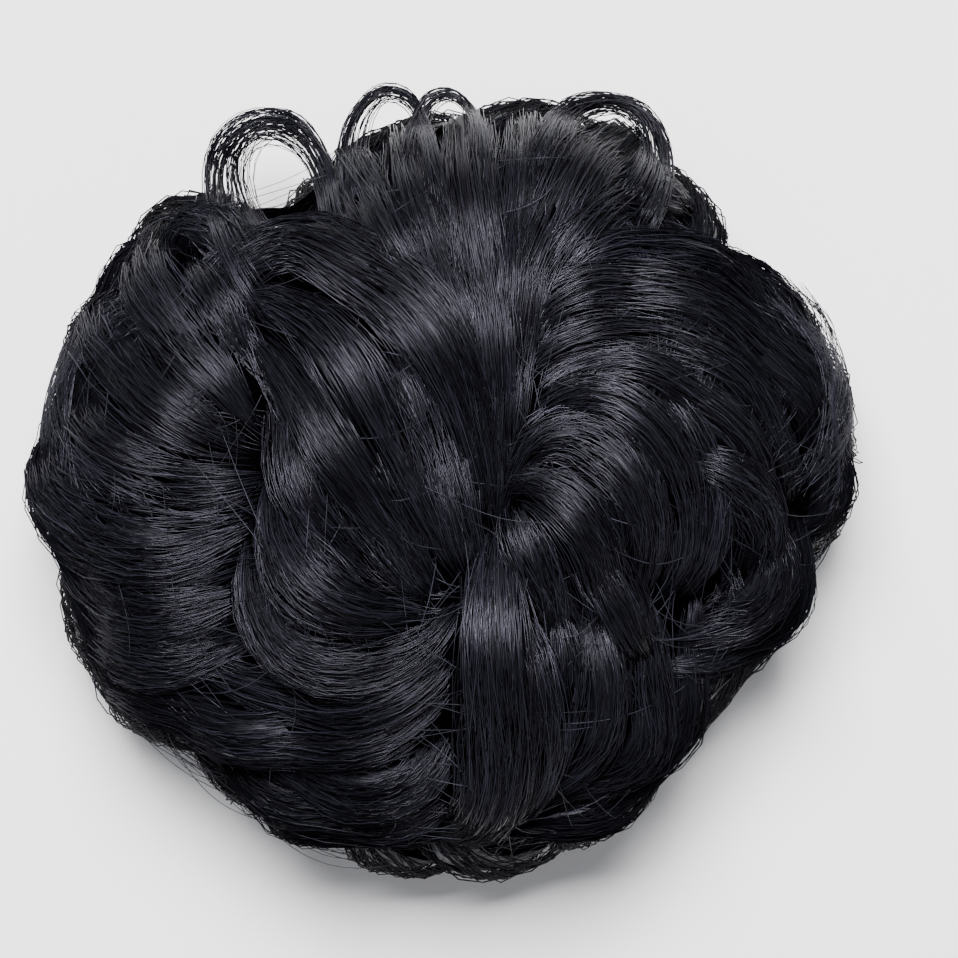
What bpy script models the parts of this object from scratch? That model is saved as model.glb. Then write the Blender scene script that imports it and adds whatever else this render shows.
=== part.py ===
"""Messy top knot hairpiece: wavy locks fused to a packed ring of hair, on a hidden elastic band.

It lies on its flat underside, with the wearer's own bun or ponytail reached from below, through
the well inside the band. Seen from above, +Y is the top of the knot and +X its right hand side.
"""

import math
import random
from typing import NamedTuple

import bmesh
import bpy
from mathutils import Vector

# Driving sizes, in metres
BUN_WIDTH = 0.125
BUN_LENGTH = 0.125
BUN_HEIGHT = 0.056
RIM_HEIGHT = 0.024
BASE_RADIUS = 0.039
LOCK_LAYER = 0.0070
FLOOR_TRIM = 0.002
BAND_INNER_DIAMETER = 0.035
BAND_THICKNESS = 0.005
BAND_SEAT_HEIGHT = 0.0065
WELL_DEPTH = 0.029
WELL_EDGE_ROUND = 0.006
SEAT_GAP = 0.0003

# Fineness of the fused hair
VOXEL = 0.0015
HAIR_FACES = 8000
LOCK_STATIONS = 15
LOCK_SIDES = 10
RING_SEGMENTS = 40
BAND_SIDES = 12

# Squareness of the dome's section, 2 for an ellipse
DOME_POWER = 2.5
TUCK_POWER = 2.2

# Reach of the outline without the open loops, as shares of the half width and half length,
# each 15 degrees from +X
OUTLINE = (
    0.985, 1.01, 0.955, 0.935, 0.96, 0.95, 0.905, 0.86, 0.795, 0.955, 0.975, 1.0,
    1.01, 0.985, 0.985, 0.935, 0.93, 0.95, 0.95, 0.955, 0.92, 0.86, 0.87, 0.93,
)


class Lock(NamedTuple):
    """One lock seen from above; every length is a share of the bun's half width.

    width and depth are its section at the middle, rise is how far it stands over the dome, and
    route holds its way from root to tip as shares of the half width and half length.
    """

    name: str
    width: float
    depth: float
    rise: float
    route: tuple


LOCKS = (
    Lock("fan_left", 0.17, 0.13, 0.02,
         ((-0.31, 0.86), (-0.26, 0.80), (-0.21, 0.69), (-0.13, 0.53), (-0.02, 0.36), (0.08, 0.14))),
    Lock("fan_inner_left", 0.18, 0.13, 0.01,
         ((-0.11, 0.90), (-0.07, 0.72), (0.0, 0.50), (0.08, 0.28), (0.11, 0.06), (0.12, -0.13))),
    Lock("fan_middle", 0.17, 0.13, 0.02,
         ((0.05, 0.91), (0.06, 0.72), (0.09, 0.50), (0.12, 0.28), (0.13, 0.06), (0.125, -0.14))),
    Lock("fan_inner_right", 0.17, 0.13, 0.01,
         ((0.20, 0.90), (0.19, 0.72), (0.17, 0.52), (0.15, 0.30), (0.14, 0.10), (0.135, -0.08))),
    Lock("fan_right", 0.17, 0.13, 0.02,
         ((0.50, 0.83), (0.42, 0.86), (0.33, 0.78), (0.26, 0.64), (0.19, 0.46), (0.155, 0.25),
          (0.145, 0.05))),
    Lock("fan_far_right", 0.16, 0.12, 0.00,
         ((0.58, 0.72), (0.47, 0.74), (0.35, 0.65), (0.24, 0.49), (0.17, 0.32), (0.15, 0.16))),
    Lock("arch_outer", 0.22, 0.16, 0.05,
         ((-0.67, 0.38), (-0.58, 0.50), (-0.44, 0.56), (-0.26, 0.54), (-0.08, 0.43), (0.03, 0.26),
          (0.09, 0.06), (0.11, -0.13))),
    Lock("arch_middle", 0.17, 0.15, 0.03,
         ((-0.58, 0.43), (-0.44, 0.46), (-0.31, 0.38), (-0.21, 0.25), (-0.13, 0.10),
          (-0.05, -0.07), (0.03, -0.22))),
    Lock("arch_inner", 0.15, 0.14, 0.04,
         ((-0.50, 0.38), (-0.42, 0.31), (-0.33, 0.19), (-0.26, 0.08), (-0.18, -0.03),
          (-0.10, -0.14), (-0.02, -0.25))),
    Lock("centre_fall", 0.17, 0.13, -0.02,
         ((-0.20, 0.46), (-0.12, 0.30), (-0.04, 0.10), (0.03, -0.12), (0.08, -0.28))),
    Lock("hollow_fall", 0.18, 0.13, -0.01,
         ((-0.30, 0.24), (-0.23, 0.09), (-0.17, -0.06), (-0.10, -0.19), (-0.02, -0.29))),
    Lock("heart_fall", 0.14, 0.13, -0.01,
         ((-0.47, 0.37), (-0.40, 0.20), (-0.36, 0.04), (-0.31, -0.08), (-0.22, -0.19),
          (-0.10, -0.28))),
    Lock("heart_curl", 0.16, 0.15, 0.05,
         ((-0.43, 0.02), (-0.40, -0.12), (-0.32, -0.24), (-0.18, -0.32), (0.0, -0.33))),
    Lock("leg_fan", 0.15, 0.12, -0.01,
         ((-0.57, 0.78), (-0.55, 0.70), (-0.50, 0.61), (-0.42, 0.52), (-0.34, 0.45))),
    Lock("left_shoulder", 0.16, 0.13, 0.00, ((-0.72, 0.58), (-0.63, 0.64), (-0.52, 0.62), (-0.40, 0.54))),
    Lock("left_edge", 0.15, 0.13, 0.00,
         ((-0.62, 0.66), (-0.75, 0.59), (-0.83, 0.48), (-0.90, 0.34), (-0.93, 0.20))),
    Lock("swirl_inner", 0.13, 0.12, 0.00, ((-0.66, 0.58), (-0.58, 0.48), (-0.51, 0.37), (-0.45, 0.22))),
    Lock("swirl_upper", 0.16, 0.14, 0.03,
         ((-0.74, 0.62), (-0.71, 0.48), (-0.63, 0.35), (-0.53, 0.24), (-0.45, 0.12))),
    Lock("swirl_middle", 0.17, 0.14, 0.02,
         ((-0.84, 0.50), (-0.83, 0.36), (-0.72, 0.22), (-0.58, 0.12), (-0.45, 0.07))),
    Lock("swirl_lower", 0.17, 0.14, 0.01,
         ((-0.93, 0.30), (-0.89, 0.15), (-0.76, 0.04), (-0.60, 0.0), (-0.46, 0.01))),
    Lock("swirl_broad", 0.24, 0.16, 0.04,
         ((-0.98, 0.10), (-0.93, -0.04), (-0.80, -0.14), (-0.63, -0.16), (-0.46, -0.09))),
    Lock("left_sweep_upper", 0.16, 0.13, 0.01,
         ((-0.96, -0.12), (-0.88, -0.24), (-0.74, -0.31), (-0.60, -0.32), (-0.45, -0.27))),
    Lock("left_sweep_lower", 0.15, 0.13, 0.01,
         ((-0.93, -0.26), (-0.84, -0.37), (-0.70, -0.43), (-0.58, -0.43), (-0.45, -0.37))),
    Lock("left_hem", 0.14, 0.12, 0.00, ((-0.92, -0.28), (-0.86, -0.42), (-0.76, -0.50), (-0.64, -0.56))),
    Lock("scoop_inner", 0.16, 0.15, 0.05,
         ((-0.48, -0.10), (-0.46, -0.27), (-0.36, -0.40), (-0.20, -0.44),
          (-0.05, -0.39), (0.06, -0.27))),
    Lock("scoop_middle", 0.15, 0.14, 0.02,
         ((-0.66, -0.45), (-0.44, -0.51), (-0.22, -0.54), (-0.04, -0.47), (0.07, -0.34))),
    Lock("scoop_outer", 0.16, 0.14, 0.03,
         ((-0.82, -0.50), (-0.62, -0.58), (-0.40, -0.62), (-0.20, -0.62),
          (-0.04, -0.55), (0.08, -0.40))),
    Lock("apron_inner", 0.17, 0.14, 0.03,
         ((-0.56, -0.62), (-0.38, -0.70), (-0.20, -0.74), (-0.05, -0.70), (0.05, -0.57))),
    Lock("apron_middle", 0.16, 0.13, 0.01,
         ((-0.64, -0.62), (-0.50, -0.73), (-0.33, -0.81), (-0.12, -0.84), (0.06, -0.79))),
    Lock("apron_outer", 0.14, 0.12, 0.00,
         ((-0.68, -0.62), (-0.58, -0.74), (-0.42, -0.83), (-0.18, -0.89), (0.06, -0.90))),
    Lock("tail_main", 0.22, 0.17, 0.06,
         ((0.13, -0.06), (0.12, -0.22), (0.12, -0.38), (0.13, -0.56), (0.12, -0.73),
          (0.05, -0.86), (-0.08, -0.93))),
    Lock("tail_side", 0.15, 0.14, 0.04,
         ((0.15, -0.24), (0.20, -0.42), (0.22, -0.60), (0.19, -0.76), (0.10, -0.89))),
    Lock("skirt_hollow", 0.13, 0.12, -0.02,
         ((0.27, -0.27), (0.30, -0.42), (0.30, -0.56), (0.27, -0.69), (0.19, -0.81))),
    Lock("skirt_inner", 0.13, 0.13, 0.01,
         ((0.36, -0.25), (0.39, -0.42), (0.38, -0.60), (0.32, -0.72), (0.20, -0.82))),
    Lock("skirt_middle", 0.15, 0.13, 0.02,
         ((0.47, -0.25), (0.50, -0.43), (0.49, -0.61), (0.41, -0.73), (0.26, -0.83))),
    Lock("skirt_outer", 0.14, 0.13, 0.01,
         ((0.64, -0.27), (0.62, -0.48), (0.55, -0.66), (0.43, -0.79), (0.22, -0.88))),
    Lock("skirt_hem", 0.13, 0.12, 0.00,
         ((0.71, -0.45), (0.62, -0.62), (0.48, -0.77), (0.28, -0.87), (0.06, -0.91))),
    Lock("curl_hem", 0.15, 0.13, 0.01,
         ((0.94, -0.06), (0.88, -0.24), (0.79, -0.37), (0.66, -0.45), (0.50, -0.47))),
    Lock("curl_outer", 0.16, 0.15, 0.03, ((0.81, -0.06), (0.80, -0.22), (0.72, -0.35), (0.57, -0.42))),
    Lock("curl_inner", 0.13, 0.14, 0.04,
         ((0.56, 0.06), (0.65, 0.04), (0.74, -0.03), (0.78, -0.14), (0.74, -0.28))),
    Lock("curl_edge", 0.13, 0.12, 0.00, ((0.94, 0.20), (0.95, 0.06), (0.95, -0.08), (0.90, -0.20))),
    Lock("drop_outer", 0.15, 0.13, 0.01,
         ((0.44, 0.27), (0.54, 0.20), (0.60, 0.08), (0.63, -0.05), (0.62, -0.19), (0.58, -0.32))),
    Lock("wing_top", 0.14, 0.12, 0.00,
         ((0.17, 0.40), (0.21, 0.51), (0.30, 0.60), (0.42, 0.66), (0.54, 0.65), (0.63, 0.58))),
    Lock("wing_upper", 0.15, 0.13, 0.01,
         ((0.16, 0.34), (0.25, 0.48), (0.40, 0.57), (0.57, 0.56), (0.74, 0.48),
          (0.87, 0.34), (0.95, 0.18))),
    Lock("wing_crest", 0.16, 0.15, 0.04,
         ((0.15, 0.26), (0.22, 0.40), (0.34, 0.47), (0.50, 0.46), (0.67, 0.39),
          (0.84, 0.25), (0.93, 0.09), (0.95, -0.06))),
    Lock("wing_lower", 0.15, 0.13, 0.01,
         ((0.15, 0.18), (0.24, 0.32), (0.42, 0.37), (0.60, 0.32), (0.75, 0.21),
          (0.86, 0.05), (0.89, -0.10))),
    Lock("wing_under", 0.15, 0.13, 0.01,
         ((0.14, 0.10), (0.25, 0.24), (0.42, 0.29), (0.58, 0.22), (0.71, 0.11),
          (0.79, -0.03), (0.81, -0.17))),
    Lock("wing_hem", 0.13, 0.11, 0.00,
         ((0.62, 0.66), (0.75, 0.54), (0.86, 0.42), (0.93, 0.29), (0.95, 0.14))),
    Lock("drop_long", 0.16, 0.15, 0.04,
         ((0.14, 0.04), (0.24, 0.18), (0.37, 0.20), (0.49, 0.11), (0.56, -0.03),
          (0.57, -0.18), (0.53, -0.32))),
    Lock("drop_middle", 0.15, 0.15, 0.05,
         ((0.135, -0.04), (0.20, 0.09), (0.31, 0.12), (0.41, 0.05), (0.47, -0.09),
          (0.48, -0.22), (0.46, -0.36))),
    Lock("drop_inner", 0.14, 0.14, 0.03,
         ((0.13, -0.12), (0.16, -0.01), (0.24, -0.02), (0.32, -0.10), (0.37, -0.21),
          (0.39, -0.33), (0.38, -0.44))),
    Lock("drop_low", 0.14, 0.13, 0.02,
         ((0.30, -0.01), (0.36, -0.13), (0.41, -0.26), (0.46, -0.37), (0.54, -0.46))),
    Lock("drop_heart", 0.14, 0.13, -0.02,
         ((0.145, 0.20), (0.15, 0.06), (0.18, -0.08), (0.22, -0.20), (0.27, -0.32), (0.31, -0.42))),
)


class Loop(NamedTuple):
    """One open loop of hair standing out past the rim, with the same shares as a lock.

    height is the share of the bun's height that its middle lies at.
    """

    name: str
    width: float
    depth: float
    height: float
    route: tuple


LOOPS = (
    Loop("loop_left", 0.085, 0.12, 0.52,
         ((-0.50, 0.50), (-0.55, 0.66), (-0.55, 0.79), (-0.47, 0.87),
          (-0.36, 0.87), (-0.29, 0.78), (-0.25, 0.60))),
    Loop("loop_small", 0.05, 0.10, 0.50,
         ((-0.25, 0.72), (-0.235, 0.86), (-0.17, 0.945), (-0.09, 0.935), (-0.05, 0.85), (-0.04, 0.70))),
    Loop("loop_crown", 0.07, 0.11, 0.47,
         ((-0.10, 0.82), (-0.05, 0.93), (0.02, 0.945), (0.08, 0.87), (0.10, 0.72))),
    Loop("loop_right", 0.06, 0.12, 0.47,
         ((0.22, 0.80), (0.28, 0.905), (0.38, 0.935), (0.48, 0.90), (0.535, 0.80), (0.54, 0.68))),
)

# Shares of a lock's depth that its middle lies under the dome, and that its ends dive further
LOCK_SINK = 0.45
LOCK_DIVE = 0.60

# Locks that wrap the side, laid by rule
SIDE_LOCKS = 28
SIDE_WIDTH = 0.24
SIDE_DEPTH = 0.14
SIDE_SINK = 0.22
SIDE_START = 0.74
SIDE_END = 1.97
SIDE_SLANT = 34.0
SIDE_BOW = 9.0
SIDE_SWIRLS = 3
SIDE_SEED = 7

HAIR_HEX = "0B0B0F"
BAND_HEX = "121214"


def linear_colour(hex_code):
    """Turn an sRGB hex code into a linear RGBA colour."""
    channels = [int(hex_code[k:k + 2], 16) / 255 for k in (0, 2, 4)]
    linear = [c / 12.92 if c <= 0.04045 else ((c + 0.055) / 1.055) ** 2.4 for c in channels]
    return (*linear, 1.0)


def make_material(name, hex_code, roughness):
    """Make a plain dielectric material."""
    material = bpy.data.materials.new(name)
    material.use_nodes = True
    shader = material.node_tree.nodes["Principled BSDF"]
    shader.inputs["Base Color"].default_value = linear_colour(hex_code)
    shader.inputs["Roughness"].default_value = roughness
    shader.inputs["Metallic"].default_value = 0.0
    return material


def clear_scene():
    """Remove whatever the scene holds."""
    for item in list(bpy.data.objects):
        bpy.data.objects.remove(item, do_unlink=True)


def add_object(name, mesh):
    """Link a mesh to the scene as an object and make it the active one."""
    item = bpy.data.objects.new(name, mesh)
    bpy.context.collection.objects.link(item)
    bpy.context.view_layer.objects.active = item
    return item


def outline_reach(bearing):
    """Read the outline's reach at a bearing in radians, smoothly between the table's shares."""
    place = (bearing / math.tau % 1.0) * len(OUTLINE)
    row = int(place)
    blend = place - row
    before, here, there, after = (OUTLINE[(row + k) % len(OUTLINE)] for k in (-1, 0, 1, 2))
    return catmull(before, here, there, after, blend)


def catmull(before, here, there, after, blend):
    """Read a Catmull-Rom curve between its two middle values."""
    slope_a = (there - before) / 2
    slope_b = (after - here) / 2
    lift = here - there
    return here + blend * (slope_a + blend * (-3 * lift - 2 * slope_a - slope_b
                                              + blend * (2 * lift + slope_a + slope_b)))


def dome_point(bearing, turn, inset=0.0):
    """Find a point of the bun's dome, inset from its outer surface.

    turn is 0 at the crown, 1 at the rim and 2 where the side meets the flat underside.
    """
    reach = outline_reach(bearing)
    half = Vector((BUN_WIDTH / 2 * reach * math.cos(bearing), BUN_LENGTH / 2 * reach * math.sin(bearing)))
    rim = half.length
    if turn <= 1:
        angle = turn * math.pi / 2
        spread = math.sin(angle) ** (2 / DOME_POWER) * (rim - inset)
        rise = max(math.cos(angle), 0.0) ** (2 / DOME_POWER)
        height = RIM_HEIGHT + (BUN_HEIGHT - inset - RIM_HEIGHT) * rise
    else:
        angle = min(turn - 1, 1.0) * math.pi / 2
        tuck = max(math.cos(angle), 0.0) ** (2 / TUCK_POWER)
        spread = BASE_RADIUS - inset / 2 + (rim - inset / 2 - BASE_RADIUS) * tuck
        height = RIM_HEIGHT * (1 - math.sin(angle) ** (2 / TUCK_POWER))
    flat = half.normalized() * spread
    return Vector((flat.x, flat.y, height))


def dome_normal(bearing, turn):
    """Find the outward normal of the dome from two short steps across it."""
    step = 0.02
    low, high = max(turn - step, 0.01), min(turn + step, 1.98)
    along = dome_point(bearing, high) - dome_point(bearing, low)
    around = dome_point(bearing + step, max(turn, 0.05)) - dome_point(bearing - step, max(turn, 0.05))
    return along.cross(around).normalized()


def place_on_dome(x_share, y_share):
    """Turn a place seen from above into the bearing and turn of the dome there.

    The third value is how many times further out than the rim the place is, at least 1.
    """
    bearing = math.atan2(y_share, x_share)
    share = math.hypot(x_share, y_share) / outline_reach(bearing)
    return bearing, math.asin(min(share, 1.0) ** (DOME_POWER / 2)) * 2 / math.pi, max(share, 1.0)


def smooth_route(points, stations):
    """Read evenly numbered places from a smooth curve through a few points."""
    ends = [tuple(2 * a - b for a, b in zip(points[0], points[1]))]
    ends += [tuple(point) for point in points]
    ends += [tuple(2 * a - b for a, b in zip(points[-1], points[-2]))]
    places = []
    for station in range(stations):
        place = station / (stations - 1) * (len(points) - 1)
        row = min(int(place), len(points) - 2)
        corners = ends[row:row + 4]
        places.append(tuple(catmull(*values, place - row) for values in zip(*corners)))
    return places


def swell(share):
    """Give the fullness of a lock along its length, thin at the root and the tip."""
    return 0.35 + 0.65 * math.sin(math.pi * min(max(share, 0.0), 1.0)) ** 0.6


def dive(share):
    """Give how much deeper a lock lies along its length, in shares of its depth, 0 at its middle."""
    return LOCK_DIVE * (1 - max(math.sin(math.pi * share), 0.0) ** 0.8)


def sweep_section(mesh, centres, normals, widths, depths):
    """Sweep a lens-shaped section along centres and close both ends."""
    rings = []
    last = len(centres) - 1
    for k, centre in enumerate(centres):
        tangent = (centres[min(k + 1, last)] - centres[max(k - 1, 0)]).normalized()
        side = tangent.cross(normals[k]).normalized()
        up = side.cross(tangent).normalized()
        ring = []
        for corner in range(LOCK_SIDES):
            angle = math.tau * corner / LOCK_SIDES
            offset = side * math.cos(angle) * widths[k] / 2 + up * math.sin(angle) * depths[k] / 2
            ring.append(mesh.verts.new(centre + offset))
        rings.append(ring)
    for ring, following in zip(rings, rings[1:]):
        for corner in range(LOCK_SIDES):
            nearby = (corner + 1) % LOCK_SIDES
            mesh.faces.new((ring[corner], ring[nearby], following[nearby], following[corner]))
    mesh.faces.new(list(reversed(rings[0])))
    mesh.faces.new(rings[-1])


def add_lock(mesh, lock):
    """Lay one lock of the table over the dome, its ends sunk into the packed hair."""
    unit = BUN_WIDTH / 2
    centres, normals, widths, depths = [], [], [], []
    for k, (x_share, y_share) in enumerate(smooth_route(lock.route, LOCK_STATIONS)):
        share = k / (LOCK_STATIONS - 1)
        full = swell(share)
        bearing, turn, over = place_on_dome(x_share, y_share)
        normal = dome_normal(bearing, turn)
        sink = lock.depth * unit * (LOCK_SINK + dive(share))
        surface = dome_point(bearing, turn)
        surface = Vector((surface.x * over, surface.y * over, surface.z))
        centres.append(surface + normal * (lock.rise * unit * full - sink))
        normals.append(normal)
        widths.append(lock.width * unit * full)
        depths.append(lock.depth * unit * full)
    sweep_section(mesh, centres, normals, widths, depths)


def add_side_lock(mesh, bearing, slant, bow, size):
    """Lay one slanting, bowed lock down the side, from over the rim to the underside."""
    unit = BUN_WIDTH / 2
    centres, normals, widths, depths = [], [], [], []
    for k in range(LOCK_STATIONS):
        share = k / (LOCK_STATIONS - 1)
        full = swell(share) * size
        turn = SIDE_START + (SIDE_END - SIDE_START) * share
        here = bearing + slant * (share - 0.5) + bow * math.sin(math.pi * share)
        normal = dome_normal(here, turn)
        sink = SIDE_DEPTH * unit * (SIDE_SINK + dive(share))
        centres.append(dome_point(here, turn) - normal * sink)
        normals.append(normal)
        widths.append(SIDE_WIDTH * unit * full)
        depths.append(SIDE_DEPTH * unit * full)
    sweep_section(mesh, centres, normals, widths, depths)


def add_loop(mesh, loop):
    """Lay one open loop outside the rim, its two feet inside the packed hair."""
    unit = BUN_WIDTH / 2
    centres, normals, widths, depths = [], [], [], []
    for k, (x_share, y_share) in enumerate(smooth_route(loop.route, LOCK_STATIONS)):
        arch = math.sin(math.pi * k / (LOCK_STATIONS - 1))
        height = BUN_HEIGHT * (loop.height - 0.10 * (1 - arch))
        centres.append(Vector((x_share * BUN_WIDTH / 2, y_share * BUN_LENGTH / 2, height)))
        normals.append(Vector((0, 0, 1)))
        widths.append(loop.width * unit)
        depths.append(loop.depth * unit)
    sweep_section(mesh, centres, normals, widths, depths)


def add_packed_core(mesh):
    """Add the packed hair under the locks: the dome, inset by the layer of locks."""
    rows = 16
    rings = []
    for row in range(1, rows + 1):
        turn = 2 * row / rows
        ring = []
        for k in range(RING_SEGMENTS):
            point = dome_point(math.tau * k / RING_SEGMENTS, turn, LOCK_LAYER)
            if row == rows:
                point.z = -FLOOR_TRIM
            ring.append(mesh.verts.new(point))
        rings.append(ring)
    for upper, lower in zip(rings, rings[1:]):
        for k in range(RING_SEGMENTS):
            nearby = (k + 1) % RING_SEGMENTS
            mesh.faces.new((upper[k], lower[k], lower[nearby], upper[nearby]))
    crown = mesh.verts.new(dome_point(0.0, 0.0, LOCK_LAYER))
    for k in range(RING_SEGMENTS):
        mesh.faces.new((crown, rings[0][k], rings[0][(k + 1) % RING_SEGMENTS]))
    mesh.faces.new(list(reversed(rings[-1])))


def fuse(item):
    """Fuse the overlapping shapes of an object into one skin and thin it to its faces."""
    remesh = item.modifiers.new("fuse", "REMESH")
    remesh.mode = "VOXEL"
    remesh.voxel_size = VOXEL
    bpy.ops.object.modifier_apply(modifier=remesh.name)
    triangles = sum(len(face.vertices) - 2 for face in item.data.polygons)
    thin = item.modifiers.new("thin", "DECIMATE")
    thin.ratio = min(HAIR_FACES / triangles, 1.0)
    bpy.ops.object.modifier_apply(modifier=thin.name)


def make_cutter(name, mesh):
    """Keep a mesh as a wire cutter that is no part of the hairpiece."""
    cutter = add_object(name, mesh)
    cutter.hide_render = True
    cutter.display_type = "WIRE"
    return cutter


def turned_cutter(name, profile):
    """Turn a profile of radius and height about the upright axis into a closed cutter."""
    mesh = bmesh.new()
    rings = []
    for radius, height in profile:
        ring = []
        for k in range(RING_SEGMENTS):
            angle = math.tau * k / RING_SEGMENTS
            ring.append(mesh.verts.new((radius * math.cos(angle), radius * math.sin(angle), height)))
        rings.append(ring)
    for lower, upper in zip(rings, rings[1:]):
        for k in range(RING_SEGMENTS):
            nearby = (k + 1) % RING_SEGMENTS
            mesh.faces.new((lower[k], lower[nearby], upper[nearby], upper[k]))
    mesh.faces.new(list(reversed(rings[0])))
    mesh.faces.new(rings[-1])
    data = bpy.data.meshes.new(name)
    mesh.to_mesh(data)
    mesh.free()
    return make_cutter(name, data)


def well_cutter():
    """Make the well for the wearer's own bun: a straight wall under a rounded ceiling."""
    radius = BAND_INNER_DIAMETER / 2 + BAND_THICKNESS / 2
    profile = [(radius, -2 * FLOOR_TRIM)]
    for step in range(5):
        angle = step / 4 * math.pi / 2
        profile.append((radius - WELL_EDGE_ROUND * (1 - math.cos(angle)),
                        WELL_DEPTH - WELL_EDGE_ROUND * (1 - math.sin(angle))))
    return turned_cutter("well_cutter", profile)


def floor_cutter():
    """Make the block that trims the underside flat."""
    wide = BUN_WIDTH + BUN_LENGTH
    return turned_cutter("floor_cutter", [(wide, -4 * FLOOR_TRIM), (wide, 0.0)])


def torus_mesh(name, tube_radius, segments, sides):
    """Make a ring at the band's place with a tube of a given radius."""
    centre_radius = BAND_INNER_DIAMETER / 2 + BAND_THICKNESS / 2
    mesh = bmesh.new()
    rings = []
    for k in range(segments):
        angle = math.tau * k / segments
        outward = Vector((math.cos(angle), math.sin(angle), 0))
        ring = []
        for side in range(sides):
            turn = math.tau * (side + 0.5) / sides
            offset = outward * math.cos(turn) * tube_radius + Vector((0, 0, math.sin(turn) * tube_radius))
            ring.append(mesh.verts.new(outward * centre_radius + offset + Vector((0, 0, BAND_SEAT_HEIGHT))))
        rings.append(ring)
    for k in range(segments):
        ring, following = rings[k], rings[(k + 1) % segments]
        for side in range(sides):
            nearby = (side + 1) % sides
            mesh.faces.new((ring[side], following[side], following[nearby], ring[nearby]))
    data = bpy.data.meshes.new(name)
    mesh.to_mesh(data)
    mesh.free()
    return data


def groove_cutter():
    """Make the groove in the well's wall that the band sits in, wider by the seat gap."""
    data = torus_mesh("groove_cutter", BAND_THICKNESS / 2 + SEAT_GAP, RING_SEGMENTS, BAND_SIDES)
    return make_cutter("groove_cutter", data)


def cut(item, cutter):
    """Cut a cutter's shape out of an object and remove the cutter."""
    boolean = item.modifiers.new(cutter.name, "BOOLEAN")
    boolean.operation = "DIFFERENCE"
    boolean.solver = "EXACT"
    boolean.object = cutter
    bpy.context.view_layer.objects.active = item
    bpy.ops.object.modifier_apply(modifier=boolean.name)
    bpy.data.objects.remove(cutter, do_unlink=True)


def drop_crumbs(item):
    """Keep the largest connected body of an object and delete any crumb beside it."""
    mesh = bmesh.new()
    mesh.from_mesh(item.data)
    unseen = set(mesh.verts)
    bodies = []
    while unseen:
        heap = [unseen.pop()]
        body = set(heap)
        while heap:
            for edge in heap.pop().link_edges:
                for vert in edge.verts:
                    if vert in unseen:
                        unseen.discard(vert)
                        body.add(vert)
                        heap.append(vert)
        bodies.append(body)
    bodies.sort(key=len)
    for body in bodies[:-1]:
        bmesh.ops.delete(mesh, geom=list(body), context="VERTS")
    mesh.to_mesh(item.data)
    mesh.free()


def build_hair():
    """Build the hair: packed core, locks, side locks and loops fused, then trimmed and hollowed."""
    mesh = bmesh.new()
    add_packed_core(mesh)
    for lock in LOCKS:
        add_lock(mesh, lock)
    for loop in LOOPS:
        add_loop(mesh, loop)
    draw = random.Random(SIDE_SEED)
    for k in range(SIDE_LOCKS):
        bearing = math.tau * (k + draw.uniform(-0.25, 0.25)) / SIDE_LOCKS
        swirl = math.sin(SIDE_SWIRLS * bearing) + draw.uniform(-0.4, 0.4)
        bow = math.radians(SIDE_BOW) * draw.uniform(-1.0, 1.0)
        add_side_lock(mesh, bearing, math.radians(SIDE_SLANT) * swirl, bow, draw.uniform(0.85, 1.15))
    bmesh.ops.recalc_face_normals(mesh, faces=mesh.faces)
    data = bpy.data.meshes.new("hair_bun")
    mesh.to_mesh(data)
    mesh.free()
    hair = add_object("hair_bun", data)
    fuse(hair)
    cut(hair, floor_cutter())
    cut(hair, well_cutter())
    cut(hair, groove_cutter())
    drop_crumbs(hair)
    hair.data.shade_smooth()
    hair.data.materials.append(make_material("modacrylic_hair", HAIR_HEX, 0.38))
    return hair


def build_band():
    """Build the hidden elastic band that the hair hangs on."""
    mesh = torus_mesh("elastic_band", BAND_THICKNESS / 2, RING_SEGMENTS, BAND_SIDES)
    band = add_object("elastic_band", mesh)
    band.data.shade_smooth()
    band.data.materials.append(make_material("covered_elastic", BAND_HEX, 0.75))
    return band


def stand_on_origin(items, reference):
    """Move the meshes so that the reference's box stands centred on the origin."""
    corners = [vertex.co for vertex in reference.data.vertices]
    low = Vector([min(corner[k] for corner in corners) for k in range(3)])
    high = Vector([max(corner[k] for corner in corners) for k in range(3)])
    shift = Vector(((low.x + high.x) / 2, (low.y + high.y) / 2, low.z))
    for item in items:
        for vertex in item.data.vertices:
            vertex.co -= shift


def main():
    """Build the hairpiece."""
    clear_scene()
    hair = build_hair()
    band = build_band()
    stand_on_origin([hair, band], hair)


main()
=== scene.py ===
"""Looks of the messy top knot hairpiece: packed hair, wavy locks, loops, stray hairs and elastic band."""

import logging
import math
import random
from dataclasses import dataclass, field
from enum import Enum

import bpy
import numpy as np
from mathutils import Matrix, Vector
from mathutils.bvhtree import BVHTree


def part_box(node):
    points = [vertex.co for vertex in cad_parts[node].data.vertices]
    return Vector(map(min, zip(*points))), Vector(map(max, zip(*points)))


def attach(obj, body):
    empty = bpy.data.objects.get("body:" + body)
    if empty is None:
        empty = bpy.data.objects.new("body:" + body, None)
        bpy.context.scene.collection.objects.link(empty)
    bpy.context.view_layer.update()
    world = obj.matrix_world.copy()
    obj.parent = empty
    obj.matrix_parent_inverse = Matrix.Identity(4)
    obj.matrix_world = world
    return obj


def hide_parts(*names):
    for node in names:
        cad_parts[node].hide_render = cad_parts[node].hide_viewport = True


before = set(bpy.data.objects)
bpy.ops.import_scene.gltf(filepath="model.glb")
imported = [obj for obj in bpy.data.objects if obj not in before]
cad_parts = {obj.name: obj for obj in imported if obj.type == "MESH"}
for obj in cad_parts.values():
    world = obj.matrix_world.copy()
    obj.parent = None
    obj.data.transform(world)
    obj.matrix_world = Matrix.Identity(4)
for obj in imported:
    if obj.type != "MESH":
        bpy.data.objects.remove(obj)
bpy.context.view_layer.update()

LOG = logging.getLogger("top_knot")

MM = 0.001
SEED = 11
BODY = "root"


class Slot(Enum):
    """The record's material slots."""

    HAIR = "modacrylic_hair"
    BAND = "covered_elastic"


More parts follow.
